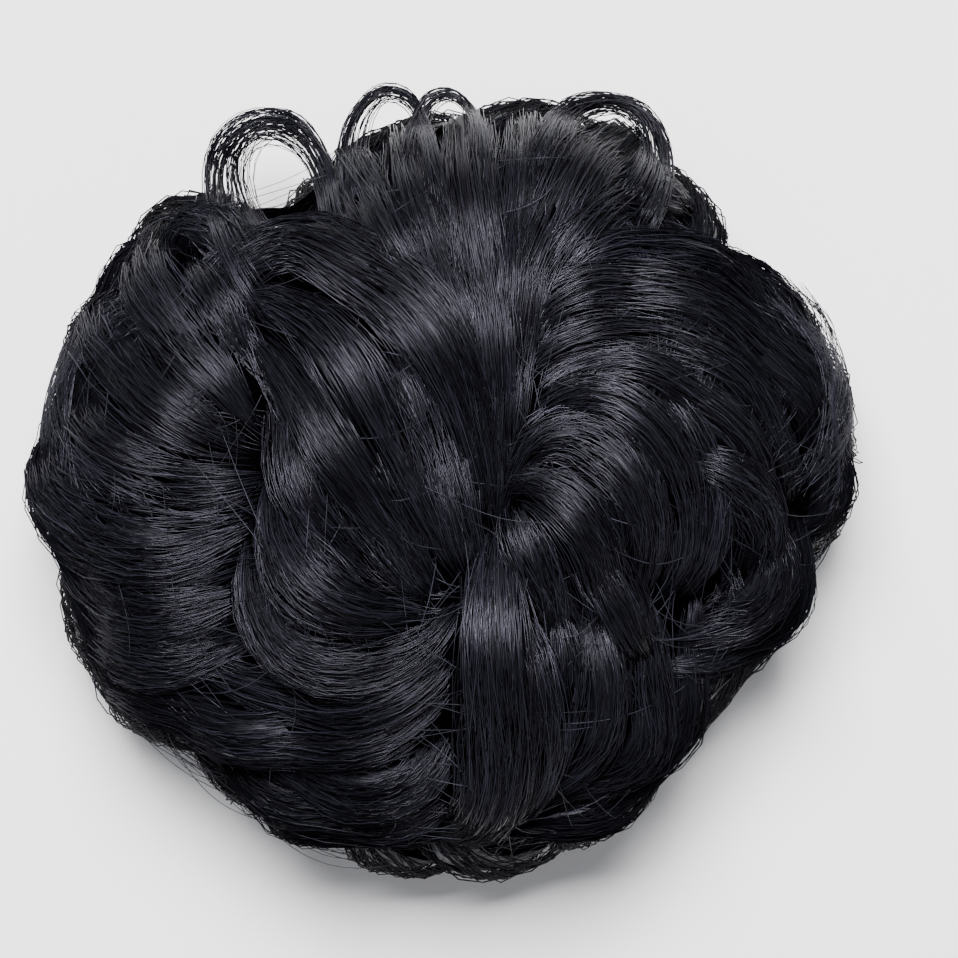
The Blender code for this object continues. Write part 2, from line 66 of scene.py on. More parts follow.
class Region(Enum):
    """The groups that the locks fall into, as seen from above."""

    TOP_FAN = "top_fan"
    LEFT_ARCH = "left_arch"
    LEFT_SWIRL = "left_swirl"
    LOWER_SWEEP = "lower_sweep"
    TAIL = "tail"
    SKIRT = "skirt"
    RIGHT_WING = "right_wing"
    RIGHT_CURLS = "right_curls"


@dataclass(frozen=True)
class Lock:
    """One lock seen from above; every length is a share of the bun's half width.

    width and depth are its section at the middle, rise is how far it stands over the dome, and
    route holds its way from root to tip as shares of the half width and half length. tuck is how
    far its root turns down over the rim, and crest is where along it its wave is highest, when set.
    """

    name: str
    width: float
    depth: float
    rise: float
    route: tuple
    tuck: float = 0.0
    crest: float = -1.0


@dataclass(frozen=True)
class Loop:
    """One open loop outside the rim, in shares of the bun's half width.

    depth is how far its strands spread in height, height is its middle's share of the bun's height,
    anchor is the place that its inner strands draw in towards, and draw_in is how far they do.
    """

    name: str
    depth: float
    height: float
    strands: int
    anchor: tuple
    draw_in: float
    route: tuple


LOCKS = {
    Region.TOP_FAN: (
        Lock("fan_left", 0.17, 0.13, 0.02,
             ((-0.31, 0.86), (-0.26, 0.80), (-0.21, 0.69), (-0.13, 0.53), (-0.02, 0.36),
              (0.08, 0.14)), crest=0.54),
        Lock("fan_inner_left", 0.18, 0.13, 0.01,
             ((-0.11, 0.90), (-0.07, 0.72), (0.0, 0.50), (0.08, 0.28), (0.11, 0.06),
              (0.12, -0.13)), 0.5, 0.45),
        Lock("fan_middle", 0.17, 0.13, 0.02,
             ((0.05, 0.91), (0.06, 0.72), (0.09, 0.50), (0.12, 0.28), (0.13, 0.06),
              (0.125, -0.14)), 0.5, 0.47),
        Lock("fan_inner_right", 0.17, 0.13, 0.01,
             ((0.20, 0.90), (0.19, 0.72), (0.17, 0.52), (0.15, 0.30), (0.14, 0.10),
              (0.135, -0.08)), 0.5, 0.45),
        Lock("fan_right", 0.17, 0.13, 0.02,
             ((0.50, 0.83), (0.42, 0.86), (0.33, 0.78), (0.26, 0.64), (0.19, 0.46), (0.155, 0.25),
              (0.145, 0.05)), 0.4),
        Lock("fan_far_right", 0.16, 0.12, 0.00,
             ((0.58, 0.72), (0.47, 0.74), (0.35, 0.65), (0.24, 0.49), (0.17, 0.32), (0.15, 0.16)), 0.4),
    ),
    Region.LEFT_ARCH: (
        Lock("centre_fall", 0.17, 0.13, -0.02,
             ((-0.20, 0.46), (-0.12, 0.30), (-0.04, 0.10), (0.03, -0.12), (0.08, -0.28))),
        Lock("hollow_fall", 0.18, 0.13, -0.01,
             ((-0.30, 0.24), (-0.23, 0.09), (-0.17, -0.06), (-0.10, -0.19), (-0.02, -0.29))),
        Lock("heart_fall", 0.14, 0.13, -0.01,
             ((-0.47, 0.37), (-0.40, 0.20), (-0.36, 0.04), (-0.31, -0.08), (-0.22, -0.19), (-0.10, -0.28))),
        Lock("heart_curl", 0.16, 0.15, 0.05,
             ((-0.43, 0.02), (-0.40, -0.12), (-0.32, -0.24), (-0.18, -0.32), (0.0, -0.33)), crest=0.5),
        Lock("arch_inner", 0.15, 0.14, 0.04,
             ((-0.50, 0.38), (-0.42, 0.31), (-0.33, 0.19), (-0.26, 0.08), (-0.18, -0.03), (-0.10, -0.14),
              (-0.02, -0.25)), crest=0.46),
        Lock("arch_middle", 0.17, 0.15, 0.03,
             ((-0.58, 0.43), (-0.44, 0.46), (-0.31, 0.38), (-0.21, 0.25), (-0.13, 0.10), (-0.05, -0.07),
              (0.03, -0.22)), crest=0.45),
        Lock("arch_outer", 0.22, 0.16, 0.05,
             ((-0.67, 0.38), (-0.58, 0.50), (-0.44, 0.56), (-0.26, 0.54), (-0.08, 0.43), (0.03, 0.26),
              (0.09, 0.06), (0.11, -0.13)), crest=0.62),
    ),
    Region.LEFT_SWIRL: (
        Lock("leg_fan", 0.15, 0.12, -0.01,
             ((-0.57, 0.78), (-0.55, 0.70), (-0.50, 0.61), (-0.42, 0.52), (-0.34, 0.45))),
        Lock("left_shoulder", 0.16, 0.13, 0.00, ((-0.72, 0.58), (-0.63, 0.64), (-0.52, 0.62), (-0.40, 0.54))),
        Lock("left_edge", 0.15, 0.13, 0.00,
             ((-0.62, 0.66), (-0.75, 0.59), (-0.83, 0.48), (-0.90, 0.34), (-0.93, 0.20))),
        Lock("swirl_inner", 0.13, 0.12, 0.00, ((-0.66, 0.58), (-0.58, 0.48), (-0.51, 0.37), (-0.45, 0.22))),
        Lock("swirl_upper", 0.16, 0.14, 0.03,
             ((-0.74, 0.62), (-0.71, 0.48), (-0.63, 0.35), (-0.53, 0.24), (-0.45, 0.12)), 0.3, 0.52),
        Lock("swirl_middle", 0.19, 0.14, 0.02,
             ((-0.84, 0.50), (-0.83, 0.36), (-0.72, 0.22), (-0.58, 0.12), (-0.45, 0.07)), 0.3, 0.47),
        Lock("swirl_lower", 0.19, 0.14, 0.01,
             ((-0.93, 0.30), (-0.89, 0.15), (-0.76, 0.04), (-0.60, 0.0), (-0.41, 0.02)), 0.3, 0.6),
        Lock("swirl_broad", 0.24, 0.16, 0.04,
             ((-0.98, 0.10), (-0.93, -0.04), (-0.80, -0.14), (-0.63, -0.16), (-0.41, -0.08)), 0.3, 0.72),
        Lock("left_sweep_upper", 0.20, 0.13, 0.01,
             ((-0.96, -0.12), (-0.88, -0.24), (-0.74, -0.31), (-0.60, -0.31), (-0.40, -0.24)), 0.3),
        Lock("left_sweep_lower", 0.19, 0.13, 0.01,
             ((-0.93, -0.26), (-0.84, -0.37), (-0.70, -0.43), (-0.58, -0.43), (-0.41, -0.36)), 0.3),
        Lock("left_hem", 0.14, 0.12, 0.00, ((-0.92, -0.28), (-0.86, -0.42), (-0.76, -0.50), (-0.64, -0.56))),
    ),
    Region.LOWER_SWEEP: (
        Lock("scoop_inner", 0.16, 0.15, 0.05,
             ((-0.48, -0.10), (-0.46, -0.27), (-0.36, -0.40), (-0.20, -0.44), (-0.05, -0.39),
              (0.06, -0.27)), crest=0.45),
        Lock("scoop_middle", 0.15, 0.14, 0.02,
             ((-0.66, -0.45), (-0.44, -0.51), (-0.22, -0.54), (-0.04, -0.47), (0.07, -0.34))),
        Lock("scoop_outer", 0.16, 0.14, 0.03,
             ((-0.82, -0.50), (-0.62, -0.58), (-0.40, -0.62), (-0.20, -0.62), (-0.04, -0.55),
              (0.08, -0.40)), 0.3),
        Lock("apron_inner", 0.17, 0.14, 0.03,
             ((-0.56, -0.62), (-0.38, -0.70), (-0.20, -0.74), (-0.05, -0.70), (0.05, -0.57)), crest=0.62),
        Lock("apron_middle", 0.16, 0.13, 0.01,
             ((-0.64, -0.62), (-0.50, -0.73), (-0.33, -0.81), (-0.12, -0.84), (0.06, -0.79))),
        Lock("apron_outer", 0.14, 0.12, 0.00,
             ((-0.68, -0.62), (-0.58, -0.74), (-0.42, -0.83), (-0.18, -0.89), (0.06, -0.90))),
    ),
    Region.TAIL: (
        Lock("tail_side", 0.15, 0.14, 0.04,
             ((0.15, -0.24), (0.20, -0.42), (0.22, -0.60), (0.19, -0.76), (0.10, -0.89)), crest=0.3),
        Lock("tail_main", 0.22, 0.17, 0.06,
             ((0.13, -0.06), (0.12, -0.22), (0.12, -0.38), (0.13, -0.56), (0.12, -0.73), (0.05, -0.86),
              (-0.08, -0.93)), crest=0.3),
    ),
    Region.SKIRT: (
        Lock("skirt_hollow", 0.13, 0.12, -0.02,
             ((0.27, -0.27), (0.30, -0.42), (0.30, -0.56), (0.27, -0.69), (0.19, -0.81))),
        Lock("skirt_inner", 0.13, 0.13, 0.01,
             ((0.36, -0.25), (0.39, -0.42), (0.38, -0.60), (0.32, -0.72), (0.20, -0.82))),
        Lock("skirt_middle", 0.15, 0.13, 0.02,
             ((0.47, -0.25), (0.50, -0.43), (0.49, -0.61), (0.41, -0.73), (0.26, -0.83))),
        Lock("skirt_outer", 0.14, 0.13, 0.01,
             ((0.64, -0.27), (0.62, -0.48), (0.55, -0.66), (0.43, -0.79), (0.22, -0.88))),
        Lock("skirt_hem", 0.13, 0.12, 0.00,
             ((0.71, -0.45), (0.62, -0.62), (0.48, -0.77), (0.28, -0.87), (0.06, -0.91))),
    ),
    Region.RIGHT_CURLS: (
        Lock("curl_hem", 0.15, 0.13, 0.01,
             ((0.94, -0.06), (0.88, -0.24), (0.79, -0.37), (0.66, -0.45), (0.50, -0.47))),
        Lock("curl_outer", 0.16, 0.15, 0.03, ((0.81, -0.06), (0.80, -0.22), (0.72, -0.35), (0.57, -0.42))),
        Lock("curl_inner", 0.13, 0.14, 0.04,
             ((0.56, 0.06), (0.65, 0.04), (0.74, -0.03), (0.78, -0.14), (0.74, -0.28))),
        Lock("curl_edge", 0.13, 0.12, 0.00, ((0.94, 0.20), (0.95, 0.06), (0.95, -0.08), (0.90, -0.20))),
        Lock("drop_outer", 0.15, 0.13, 0.01,
             ((0.44, 0.27), (0.54, 0.20), (0.60, 0.08), (0.63, -0.05), (0.62, -0.19), (0.58, -0.32))),
    ),
    Region.RIGHT_WING: (
        Lock("drop_heart", 0.14, 0.13, -0.02,
             ((0.15, 0.0), (0.18, -0.10), (0.22, -0.20), (0.27, -0.32), (0.31, -0.42))),
        Lock("drop_low", 0.14, 0.13, 0.02,
             ((0.30, -0.01), (0.36, -0.13), (0.41, -0.26), (0.46, -0.37), (0.54, -0.46)), crest=0.72),
        Lock("drop_inner", 0.14, 0.14, 0.03,
             ((0.13, -0.12), (0.16, -0.01), (0.24, -0.02), (0.32, -0.10), (0.37, -0.21), (0.39, -0.33),
              (0.38, -0.44)), crest=0.47),
        Lock("drop_middle", 0.15, 0.15, 0.05,
             ((0.135, -0.04), (0.20, 0.09), (0.31, 0.12), (0.41, 0.05), (0.47, -0.09), (0.48, -0.22),
              (0.46, -0.36)), crest=0.62),
        Lock("drop_long", 0.15, 0.15, 0.04,
             ((0.14, 0.04), (0.24, 0.18), (0.37, 0.20), (0.49, 0.11), (0.56, -0.03), (0.57, -0.18),
              (0.53, -0.32)), crest=0.44),
        Lock("wing_under", 0.13, 0.13, 0.01,
             ((0.14, 0.10), (0.25, 0.24), (0.42, 0.29), (0.58, 0.22), (0.71, 0.11), (0.79, -0.03),
              (0.81, -0.17))),
        Lock("wing_lower", 0.13, 0.13, 0.01,
             ((0.15, 0.18), (0.24, 0.32), (0.42, 0.37), (0.60, 0.32), (0.75, 0.21), (0.86, 0.05),
              (0.89, -0.10))),
        Lock("wing_crest", 0.16, 0.15, 0.04,
             ((0.15, 0.26), (0.22, 0.40), (0.34, 0.47), (0.50, 0.46), (0.67, 0.39), (0.84, 0.25),
              (0.93, 0.09), (0.95, -0.06)), crest=0.46),
        Lock("wing_upper", 0.13, 0.13, 0.01,
             ((0.16, 0.34), (0.25, 0.48), (0.40, 0.57), (0.57, 0.56), (0.74, 0.48), (0.87, 0.34),
              (0.95, 0.18))),
        Lock("wing_top", 0.12, 0.12, 0.00,
             ((0.17, 0.40), (0.21, 0.51), (0.30, 0.60), (0.42, 0.66), (0.54, 0.65), (0.63, 0.58))),
        Lock("wing_hem", 0.13, 0.11, 0.00,
             ((0.62, 0.66), (0.75, 0.54), (0.86, 0.42), (0.93, 0.29), (0.95, 0.14))),
    ),
}

LOOPS = (
    Loop("loop_left", 0.12, 0.52, 110, (-0.31, 0.56), 0.85,
         ((-0.41, 0.36), (-0.50, 0.51), (-0.555, 0.66), (-0.55, 0.79), (-0.47, 0.87), (-0.36, 0.87),
          (-0.285, 0.77), (-0.24, 0.62), (-0.16, 0.46))),
    Loop("loop_small", 0.10, 0.50, 56, (-0.11, 0.76), 0.60,
         ((-0.22, 0.58), (-0.25, 0.73), (-0.235, 0.86), (-0.17, 0.945), (-0.09, 0.935), (-0.04, 0.84),
          (0.0, 0.68), (0.03, 0.54))),
    Loop("loop_crown", 0.11, 0.47, 50, (0.01, 0.80), 0.60,
         ((-0.10, 0.70), (-0.09, 0.83), (-0.05, 0.93), (0.02, 0.945), (0.08, 0.87), (0.10, 0.72),
          (0.11, 0.58))),
    Loop("loop_right", 0.12, 0.47, 110, (0.36, 0.74), 0.70,
         ((0.18, 0.68), (0.22, 0.81), (0.28, 0.905), (0.38, 0.935), (0.48, 0.90), (0.53, 0.80), (0.52, 0.68),
          (0.46, 0.55))),
    Loop("edge_right", 0.12, 0.43, 70, (0.20, 0.20), 0.22,
         ((0.74, 0.50), (0.84, 0.40), (0.895, 0.29), (0.915, 0.16), (0.90, 0.04), (0.84, -0.06))),
    Loop("edge_left", 0.12, 0.43, 70, (-0.20, 0.15), 0.20,
         ((-0.68, 0.46), (-0.81, 0.40), (-0.875, 0.27), (-0.90, 0.12), (-0.91, -0.02), (-0.84, -0.12))),
)

WISPS = (
    ((-0.95, 0.20), (-0.82, 0.03), (-0.64, -0.06), (-0.47, -0.03), (-0.36, 0.05)),
    ((-0.93, -0.05), (-0.76, -0.22), (-0.60, -0.25), (-0.44, -0.18), (-0.30, -0.20)),
    ((-0.90, -0.20), (-0.74, -0.36), (-0.58, -0.38), (-0.42, -0.32), (-0.30, -0.34)),
    ((0.15, 0.42), (0.26, 0.40), (0.42, 0.42), (0.60, 0.40), (0.78, 0.30)),
    ((0.50, 0.60), (0.60, 0.44), (0.62, 0.28), (0.56, 0.12)),
    ((0.16, -0.02), (0.26, 0.06), (0.36, 0.02), (0.42, -0.10), (0.40, -0.24)),
    ((0.86, 0.40), (0.80, 0.22), (0.74, 0.04), (0.72, -0.16)),
    ((-0.20, 0.62), (-0.10, 0.44), (0.02, 0.24), (0.08, 0.02), (0.10, -0.20)),
    ((0.14, -0.10), (0.24, -0.22), (0.34, -0.36), (0.44, -0.50), (0.50, -0.62)),
    ((0.48, 0.02), (0.60, 0.06), (0.71, 0.0), (0.77, -0.12), (0.73, -0.28), (0.60, -0.38)),
    ((0.60, -0.06), (0.67, -0.14), (0.69, -0.27), (0.63, -0.40)),
    ((0.90, -0.15), (0.82, -0.32), (0.70, -0.46), (0.54, -0.62), (0.36, -0.76), (0.16, -0.86)),
    ((0.57, -0.42), (0.53, -0.60), (0.42, -0.74), (0.24, -0.85), (0.05, -0.91)),
    ((-0.62, 0.60), (-0.48, 0.59), (-0.36, 0.55), (-0.22, 0.47), (-0.10, 0.34)),
    ((-0.60, 0.42), (-0.50, 0.36), (-0.42, 0.26), (-0.36, 0.12), (-0.34, 0.0)),
    ((-0.86, 0.46), (-0.80, 0.30), (-0.66, 0.20), (-0.50, 0.14), (-0.38, 0.10)),
    ((-0.12, 0.20), (-0.06, 0.05), (0.02, -0.10), (0.08, -0.22)),
    ((-0.40, -0.05), (-0.30, -0.16), (-0.18, -0.24), (-0.04, -0.28), (0.08, -0.26)),
    ((-0.53, 0.84), (-0.51, 0.72), (-0.46, 0.60), (-0.36, 0.49)),
    ((0.55, 0.80), (0.48, 0.70), (0.36, 0.56), (0.24, 0.40), (0.17, 0.22)),
    ((0.30, 0.70), (0.46, 0.66), (0.62, 0.56), (0.78, 0.42), (0.90, 0.25)),
    ((0.20, 0.30), (0.36, 0.34), (0.52, 0.28), (0.66, 0.16), (0.76, 0.0)),
    ((-0.88, -0.30), (-0.74, -0.48), (-0.56, -0.66), (-0.34, -0.80), (-0.10, -0.88)),
    ((-0.70, -0.36), (-0.50, -0.46), (-0.30, -0.50), (-0.10, -0.46), (0.05, -0.34)),
    ((0.22, 0.52), (0.34, 0.58), (0.50, 0.54), (0.66, 0.42), (0.78, 0.24)),
    ((0.20, 0.14), (0.30, 0.26), (0.46, 0.30), (0.62, 0.22), (0.72, 0.06)),
    ((0.38, 0.66), (0.48, 0.54), (0.54, 0.38), (0.50, 0.20), (0.40, 0.06)),
    ((0.86, 0.34), (0.72, 0.36), (0.56, 0.30), (0.40, 0.18), (0.28, 0.02)),
    ((-0.04, 0.86), (-0.06, 0.70), (-0.02, 0.54), (0.06, 0.38), (0.10, 0.20)),
    ((0.26, 0.86), (0.24, 0.70), (0.16, 0.52), (0.12, 0.34), (0.12, 0.12)),
)

STRAYS = (
    ((0.35, -0.14), (0.48, -0.18), (0.60, -0.16)),
    ((0.24, -0.37), (0.32, -0.36), (0.38, -0.29)),
    ((0.43, 0.76), (0.46, 0.65), (0.43, 0.54)),
    ((0.27, -0.57), (0.44, -0.54), (0.60, -0.47)),
    ((-0.62, -0.15), (-0.67, -0.22), (-0.62, -0.32), (-0.50, -0.50), (-0.46, -0.55)),
    ((-0.92, -0.35), (-0.85, -0.39), (-0.70, -0.32)),
    ((0.06, -0.85), (0.10, -0.90), (0.18, -0.86)),
)


def linear_colour(hex_code: str) -> tuple:
    """Turn an sRGB hex code into a linear colour.

    Args:
        hex_code: Six hex digits, red first.

    Returns:
        Linear red, green, blue and an alpha of 1.
    """
    channels = [int(hex_code[k:k + 2], 16) / 255 for k in (0, 2, 4)]
    linear = [c / 12.92 if c <= 0.04045 else ((c + 0.055) / 1.055) ** 2.4 for c in channels]
    return (*linear, 1.0)


def add_node(tree: bpy.types.NodeTree, kind: str, settings: dict | None = None,
             inputs: dict | None = None) -> bpy.types.Node:
    """Add a node with its settings and links.

    Args:
        tree: The node tree that takes the node.
        kind: The node's type name.
        settings: Values of the node's own properties, by name.
        inputs: Values of its sockets, by name or number, as numbers or as sockets to link from.

    Returns:
        The new node.
    """
    node = tree.nodes.new(kind)
    for name, value in (settings or {}).items():
        setattr(node, name, value)
    for name, value in (inputs or {}).items():
        if isinstance(value, bpy.types.NodeSocket):
            tree.links.new(value, node.inputs[name])
        else:
            node.inputs[name].default_value = value
    return node


def unit(vectors: np.ndarray) -> np.ndarray:
    """Scale vectors, held along the last axis, to length one."""
    return vectors / np.maximum(np.linalg.norm(vectors, axis=-1, keepdims=True), 1e-12)


def catmull(before: np.ndarray, here: np.ndarray, there: np.ndarray, after: np.ndarray,
            blend: np.ndarray) -> np.ndarray:
    """Read a Catmull-Rom curve between its two middle values.

    Args:
        before: Value before the stretch.
        here: Value at its start.
        there: Value at its end.
        after: Value after it.
        blend: How far along the stretch, from 0 to 1.

    Returns:
        The value there.
    """
    slope_a = (there - before) / 2
    slope_b = (after - here) / 2
    step = here - there
    return here + blend * (slope_a + blend * (-3 * step - 2 * slope_a - slope_b
                                              + blend * (2 * step + slope_a + slope_b)))


def smooth_route(points: tuple, stations: int) -> np.ndarray:
    """Read places from a smooth curve through a few points.

    Args:
        points: The points that the curve passes.
        stations: How many places to read.

    Returns:
        One row for each place.
    """
    rows = np.array(points, float)
    ends = np.vstack([2 * rows[0] - rows[1], rows, 2 * rows[-1] - rows[-2]])
    place = np.linspace(0, len(rows) - 1, stations)
    row = np.minimum(place.astype(int), len(rows) - 2)
    return catmull(ends[row], ends[row + 1], ends[row + 2], ends[row + 3], (place - row)[:, None])


@dataclass(frozen=True)
class Dome:
    """The bun's outer surface, which every lock lies on."""

    width: float = 0.125
    length: float = 0.125
    height: float = 0.056
    rim_height: float = 0.024
    base_radius: float = 0.039
    power: float = 2.5
    tuck_power: float = 2.2
    outline: tuple = (
        0.985, 1.01, 0.955, 0.935, 0.96, 0.95, 0.905, 0.86, 0.795, 0.955, 0.975, 1.0,
        1.01, 0.985, 0.985, 0.935, 0.93, 0.95, 0.95, 0.955, 0.92, 0.86, 0.87, 0.93,
    )
    axis: tuple = (0.0, 0.0)

    def reach(self, bearing: np.ndarray) -> np.ndarray:
        """Read the outline's reach at bearings in radians, as shares of the half width.

        Args:
            bearing: The bearings.

        Returns:
            The reach at each.
        """
        shares = np.array(self.outline)
        place = np.mod(bearing / math.tau, 1.0) * len(shares)
        row = place.astype(int)
        values = [shares[(row + k) % len(shares)] for k in (-1, 0, 1, 2)]
        return catmull(*values, place - row)

    def point(self, bearing: np.ndarray, turn: np.ndarray, inset: float = 0.0) -> np.ndarray:
        """Find points of the dome.

        Args:
            bearing: Directions from the axis in radians.
            turn: 0 at the crown, 1 at the rim and 2 where the side meets the underside.
            inset: How deep under the surface.

        Returns:
            Points in metres, along the last axis.
        """
        bearing, turn = np.broadcast_arrays(np.asarray(bearing, float), np.asarray(turn, float))
        reach = self.reach(bearing)
        flat = np.stack([self.width / 2 * reach * np.cos(bearing),
                         self.length / 2 * reach * np.sin(bearing)], -1)
        rim = np.linalg.norm(flat, axis=-1)
        upper = np.clip(turn, 0, 1) * math.pi / 2
        lower = np.clip(turn - 1, 0, 1) * math.pi / 2
        spread = np.sin(upper) ** (2 / self.power) * (rim - inset)
        tuck = np.maximum(np.cos(lower), 0) ** (2 / self.tuck_power)
        tucked = self.base_radius - inset / 2 + (rim - inset / 2 - self.base_radius) * tuck
        dome_rise = np.maximum(np.cos(upper), 0) ** (2 / self.power)
        height = self.rim_height + (self.height - inset - self.rim_height) * dome_rise
        low = self.rim_height * (1 - np.sin(lower) ** (2 / self.tuck_power))
        radius = np.where(turn <= 1, spread, tucked)
        place = unit(flat) * radius[..., None] + np.array(self.axis)
        return np.concatenate([place, np.where(turn <= 1, height, low)[..., None]], -1)

    def normal(self, bearing: np.ndarray, turn: np.ndarray) -> np.ndarray:
        """Find outward normals of the dome from two short steps across it.

        Args:
            bearing: Directions from the axis in radians.
            turn: 0 at the crown, 1 at the rim and 2 where the side meets the underside.

        Returns:
            The normals, along the last axis.
        """
        step = 0.02
        low, high = np.maximum(turn - step, 0.01), np.minimum(turn + step, 1.98)
        along = self.point(bearing, high) - self.point(bearing, low)
        held = np.maximum(turn, 0.05)
        around = self.point(bearing + step, held) - self.point(bearing - step, held)
        return unit(np.cross(along, around))

    def seen(self, shares: np.ndarray) -> np.ndarray:
        """Turn places seen from above, as shares of the half width, into metres."""
        return shares * self.width / 2 + np.array(self.axis)

    def place(self, shares: np.ndarray) -> tuple:
        """Turn places seen from above into bearings and turns.

        Args:
            shares: Rows of x and y, as shares of the half width and half length.

        Returns:
            The bearings, the turns, and how many times further out than the rim each place is.
        """
        bearing = np.arctan2(shares[..., 1], shares[..., 0])
        share = np.hypot(shares[..., 0], shares[..., 1]) / self.reach(bearing)
        turn = np.arcsin(np.minimum(share, 1.0) ** (self.power / 2)) * 2 / math.pi
        return bearing, turn, np.maximum(share, 1.0)


@dataclass(frozen=True)
class Spine:
    """The middle line of a lock, with its section's directions and half sizes at each station."""

    centre: np.ndarray
    side: np.ndarray
    up: np.ndarray
    half_width: np.ndarray
    half_depth: np.ndarray

    @property
    def length(self) -> float:
        """Give the length of the middle line."""
        return float(np.linalg.norm(np.diff(self.centre, axis=0), axis=1).sum())

    @classmethod
    def along(cls, centre: np.ndarray, normal: np.ndarray, width: np.ndarray, depth: np.ndarray) -> "Spine":
        """Make a spine from its centres, the dome's normals there and its section's sizes.

        Args:
            centre: The centres.
            normal: The dome's normals there.
            width: Widths of the section.
            depth: Depths of the section.

        Returns:
            The spine.
        """
        tangent = unit(np.gradient(centre, axis=0))
        side = unit(np.cross(tangent, normal))
        return cls(centre, side, unit(np.cross(side, tangent)), width / 2, depth / 2)

    def read(self, shares: np.ndarray) -> list:
        """Read the spine's values at shares of its length, each in the shape of the shares.

        Args:
            shares: Shares of the length.

        Returns:
            The centres, sides, ups, half widths and half depths.
        """
        stations = len(self.centre) - 1
        place = np.clip(shares, 0, 1) * stations
        row = np.minimum(place.astype(int), stations - 1)
        blend = place - row
        values = []
        for value in (self.centre, self.side, self.up, self.half_width, self.half_depth):
            mix = blend[..., None] if value.ndim == 2 else blend
            values.append(value[row] * (1 - mix) + value[row + 1] * mix)
        return values


def swell(share: np.ndarray) -> np.ndarray:
    """Give the fullness of a lock along its length, thin at the root and the tip."""
    return 0.35 + 0.65 * np.sin(math.pi * np.clip(share, 0, 1)) ** 0.6


def pinch(share: np.ndarray, least: float) -> np.ndarray:
    """Give how far a lock is drawn together along its length, from least at its ends to 1."""
    return least + (1 - least) * np.sqrt(np.sin(math.pi * np.clip(share, 0, 1)))


def dive_share(share: np.ndarray) -> np.ndarray:
    """Give how deep a lock dives along its length, from 1 at its ends to 0 at its middle."""
    return 1 - np.maximum(np.sin(math.pi * share), 0) ** 0.8


def even_out(points: np.ndarray, passes: int) -> None:
    """Even out the bends of a row of points, its ends left in place.

    Args:
        points: The points, which are changed.
        passes: How many times each is moved halfway to the middle of its neighbours.
    """
    for _ in range(passes):
        points[1:-1] = points[1:-1] * 0.5 + (points[:-2] + points[2:]) * 0.25


@dataclass
class Strands:
    """Many strands, held as arrays: points and up directions of N strands by K stations.

    Faces where the ground is steeper than the given rise take the second finish, a darker, duller copy of the
    fibre with painted shade.
    """

    points: list = field(default_factory=list)
    ups: list = field(default_factory=list)
    radii: list = field(default_factory=list)
    tints: list = field(default_factory=list)
    steep: float = -2.0
    steep_spread: float = 0.3

    def add(self, points: np.ndarray, ups: np.ndarray, radii: np.ndarray, tints: np.ndarray) -> None:
        """Add strands that have the same number of stations as the others.

        Args:
            points: The strands' points.
            ups: The ground's normals there.
            radii: The strands' radii there.
            tints: One number for each strand, 0 dark to 1 light.
        """
        self.points.append(points)
        self.ups.append(ups)
        self.radii.append(radii)
        self.tints.append(tints)

    def build(self, name: str, corners: int = 3) -> bpy.types.Object:
        """Join the strands into one mesh of closed, tapered tubes.

        Args:
            name: The new object's name.
            corners: How many corners a tube's section has.

        Returns:
            The new object.
        """
        angle = math.tau * np.arange(corners) / corners + math.pi / 2
        corner = np.arange(corners)
        verts, quads, caps, tints, shades = [], [], [], [], []
        offset = 0
        for points, ups, radii, tint in zip(self.points, self.ups, self.radii, self.tints):
            count, stations = points.shape[:2]
            points = np.concatenate([points[..., :2], np.maximum(points[..., 2:], radii[..., None])], -1)
            tangent = unit(np.gradient(points, axis=1))
            side = unit(np.cross(tangent, ups))
            up = np.cross(side, tangent)
            around = side[:, :, None] * np.cos(angle)[:, None] + up[:, :, None] * np.sin(angle)[:, None]
            verts.append((points[:, :, None] + around * radii[:, :, None, None]).reshape(-1, 3))
            first = offset + np.arange(count)[:, None, None] * stations * corners
            base = first + (np.arange(stations - 1) * corners)[None, :, None] + corner
            beside = base - corner + (corner + 1) % corners
            quads.append(np.stack([base, base + corners, beside + corners, beside], -1).reshape(-1, 4))
            caps.append(first[:, 0] + corner)
            caps.append(first[:, 0] + (stations - 1) * corners + corner[::-1])
            tints.append(np.repeat(tint, stations * corners))
            # Faces on steep ground take the second finish: painted shade
            steep = ups[:, 1:, 2] < self.steep + self.steep_spread * (tint[:, None] - 0.5)
            shades.append(np.repeat(steep, corners))
            offset += count * stations * corners
        mesh = mesh_from_faces(name, np.concatenate(verts), [np.concatenate(quads), np.concatenate(caps)])
        marks = np.concatenate([*shades, np.zeros(len(mesh.polygons) - sum(map(len, shades)), bool)])
        mesh.polygons.foreach_set("material_index", marks.astype(np.int32))
        layer = mesh.attributes.new("tint", "FLOAT", "POINT")
        layer.data.foreach_set("value", np.concatenate(tints).astype(np.float32))
        return link(name, mesh)


def mesh_from_faces(name: str, verts: np.ndarray, groups: list) -> bpy.types.Mesh:
    """Make a smooth mesh from arrays.

    Args:
        name: The mesh's name.
        verts: One row for each vertex.
        groups: Arrays of faces, each with one row for each face and one width.

    Returns:
        The new mesh.
    """
    mesh = bpy.data.meshes.new(name)
    mesh.vertices.add(len(verts))
    mesh.vertices.foreach_set("co", verts.astype(np.float32).ravel())
    corners = np.concatenate([group.ravel() for group in groups])
    sizes = np.concatenate([np.full(len(group), group.shape[1]) for group in groups])
    starts = np.concatenate([[0], np.cumsum(sizes)[:-1]])
    mesh.loops.add(len(corners))
    mesh.loops.foreach_set("vertex_index", corners.astype(np.int32))
    mesh.polygons.add(len(sizes))
    mesh.polygons.foreach_set("loop_start", starts.astype(np.int32))
    mesh.update(calc_edges=True)
    mesh.shade_smooth()
    return mesh


def link(name: str, mesh: bpy.types.Mesh) -> bpy.types.Object:
    """Link a mesh to the scene as an object at the origin.

    Args:
        name: The object's name.
        mesh: The mesh.

    Returns:
        The new object.
    """
    item = bpy.data.objects.new(name, mesh)
    bpy.context.collection.objects.link(item)
    return item


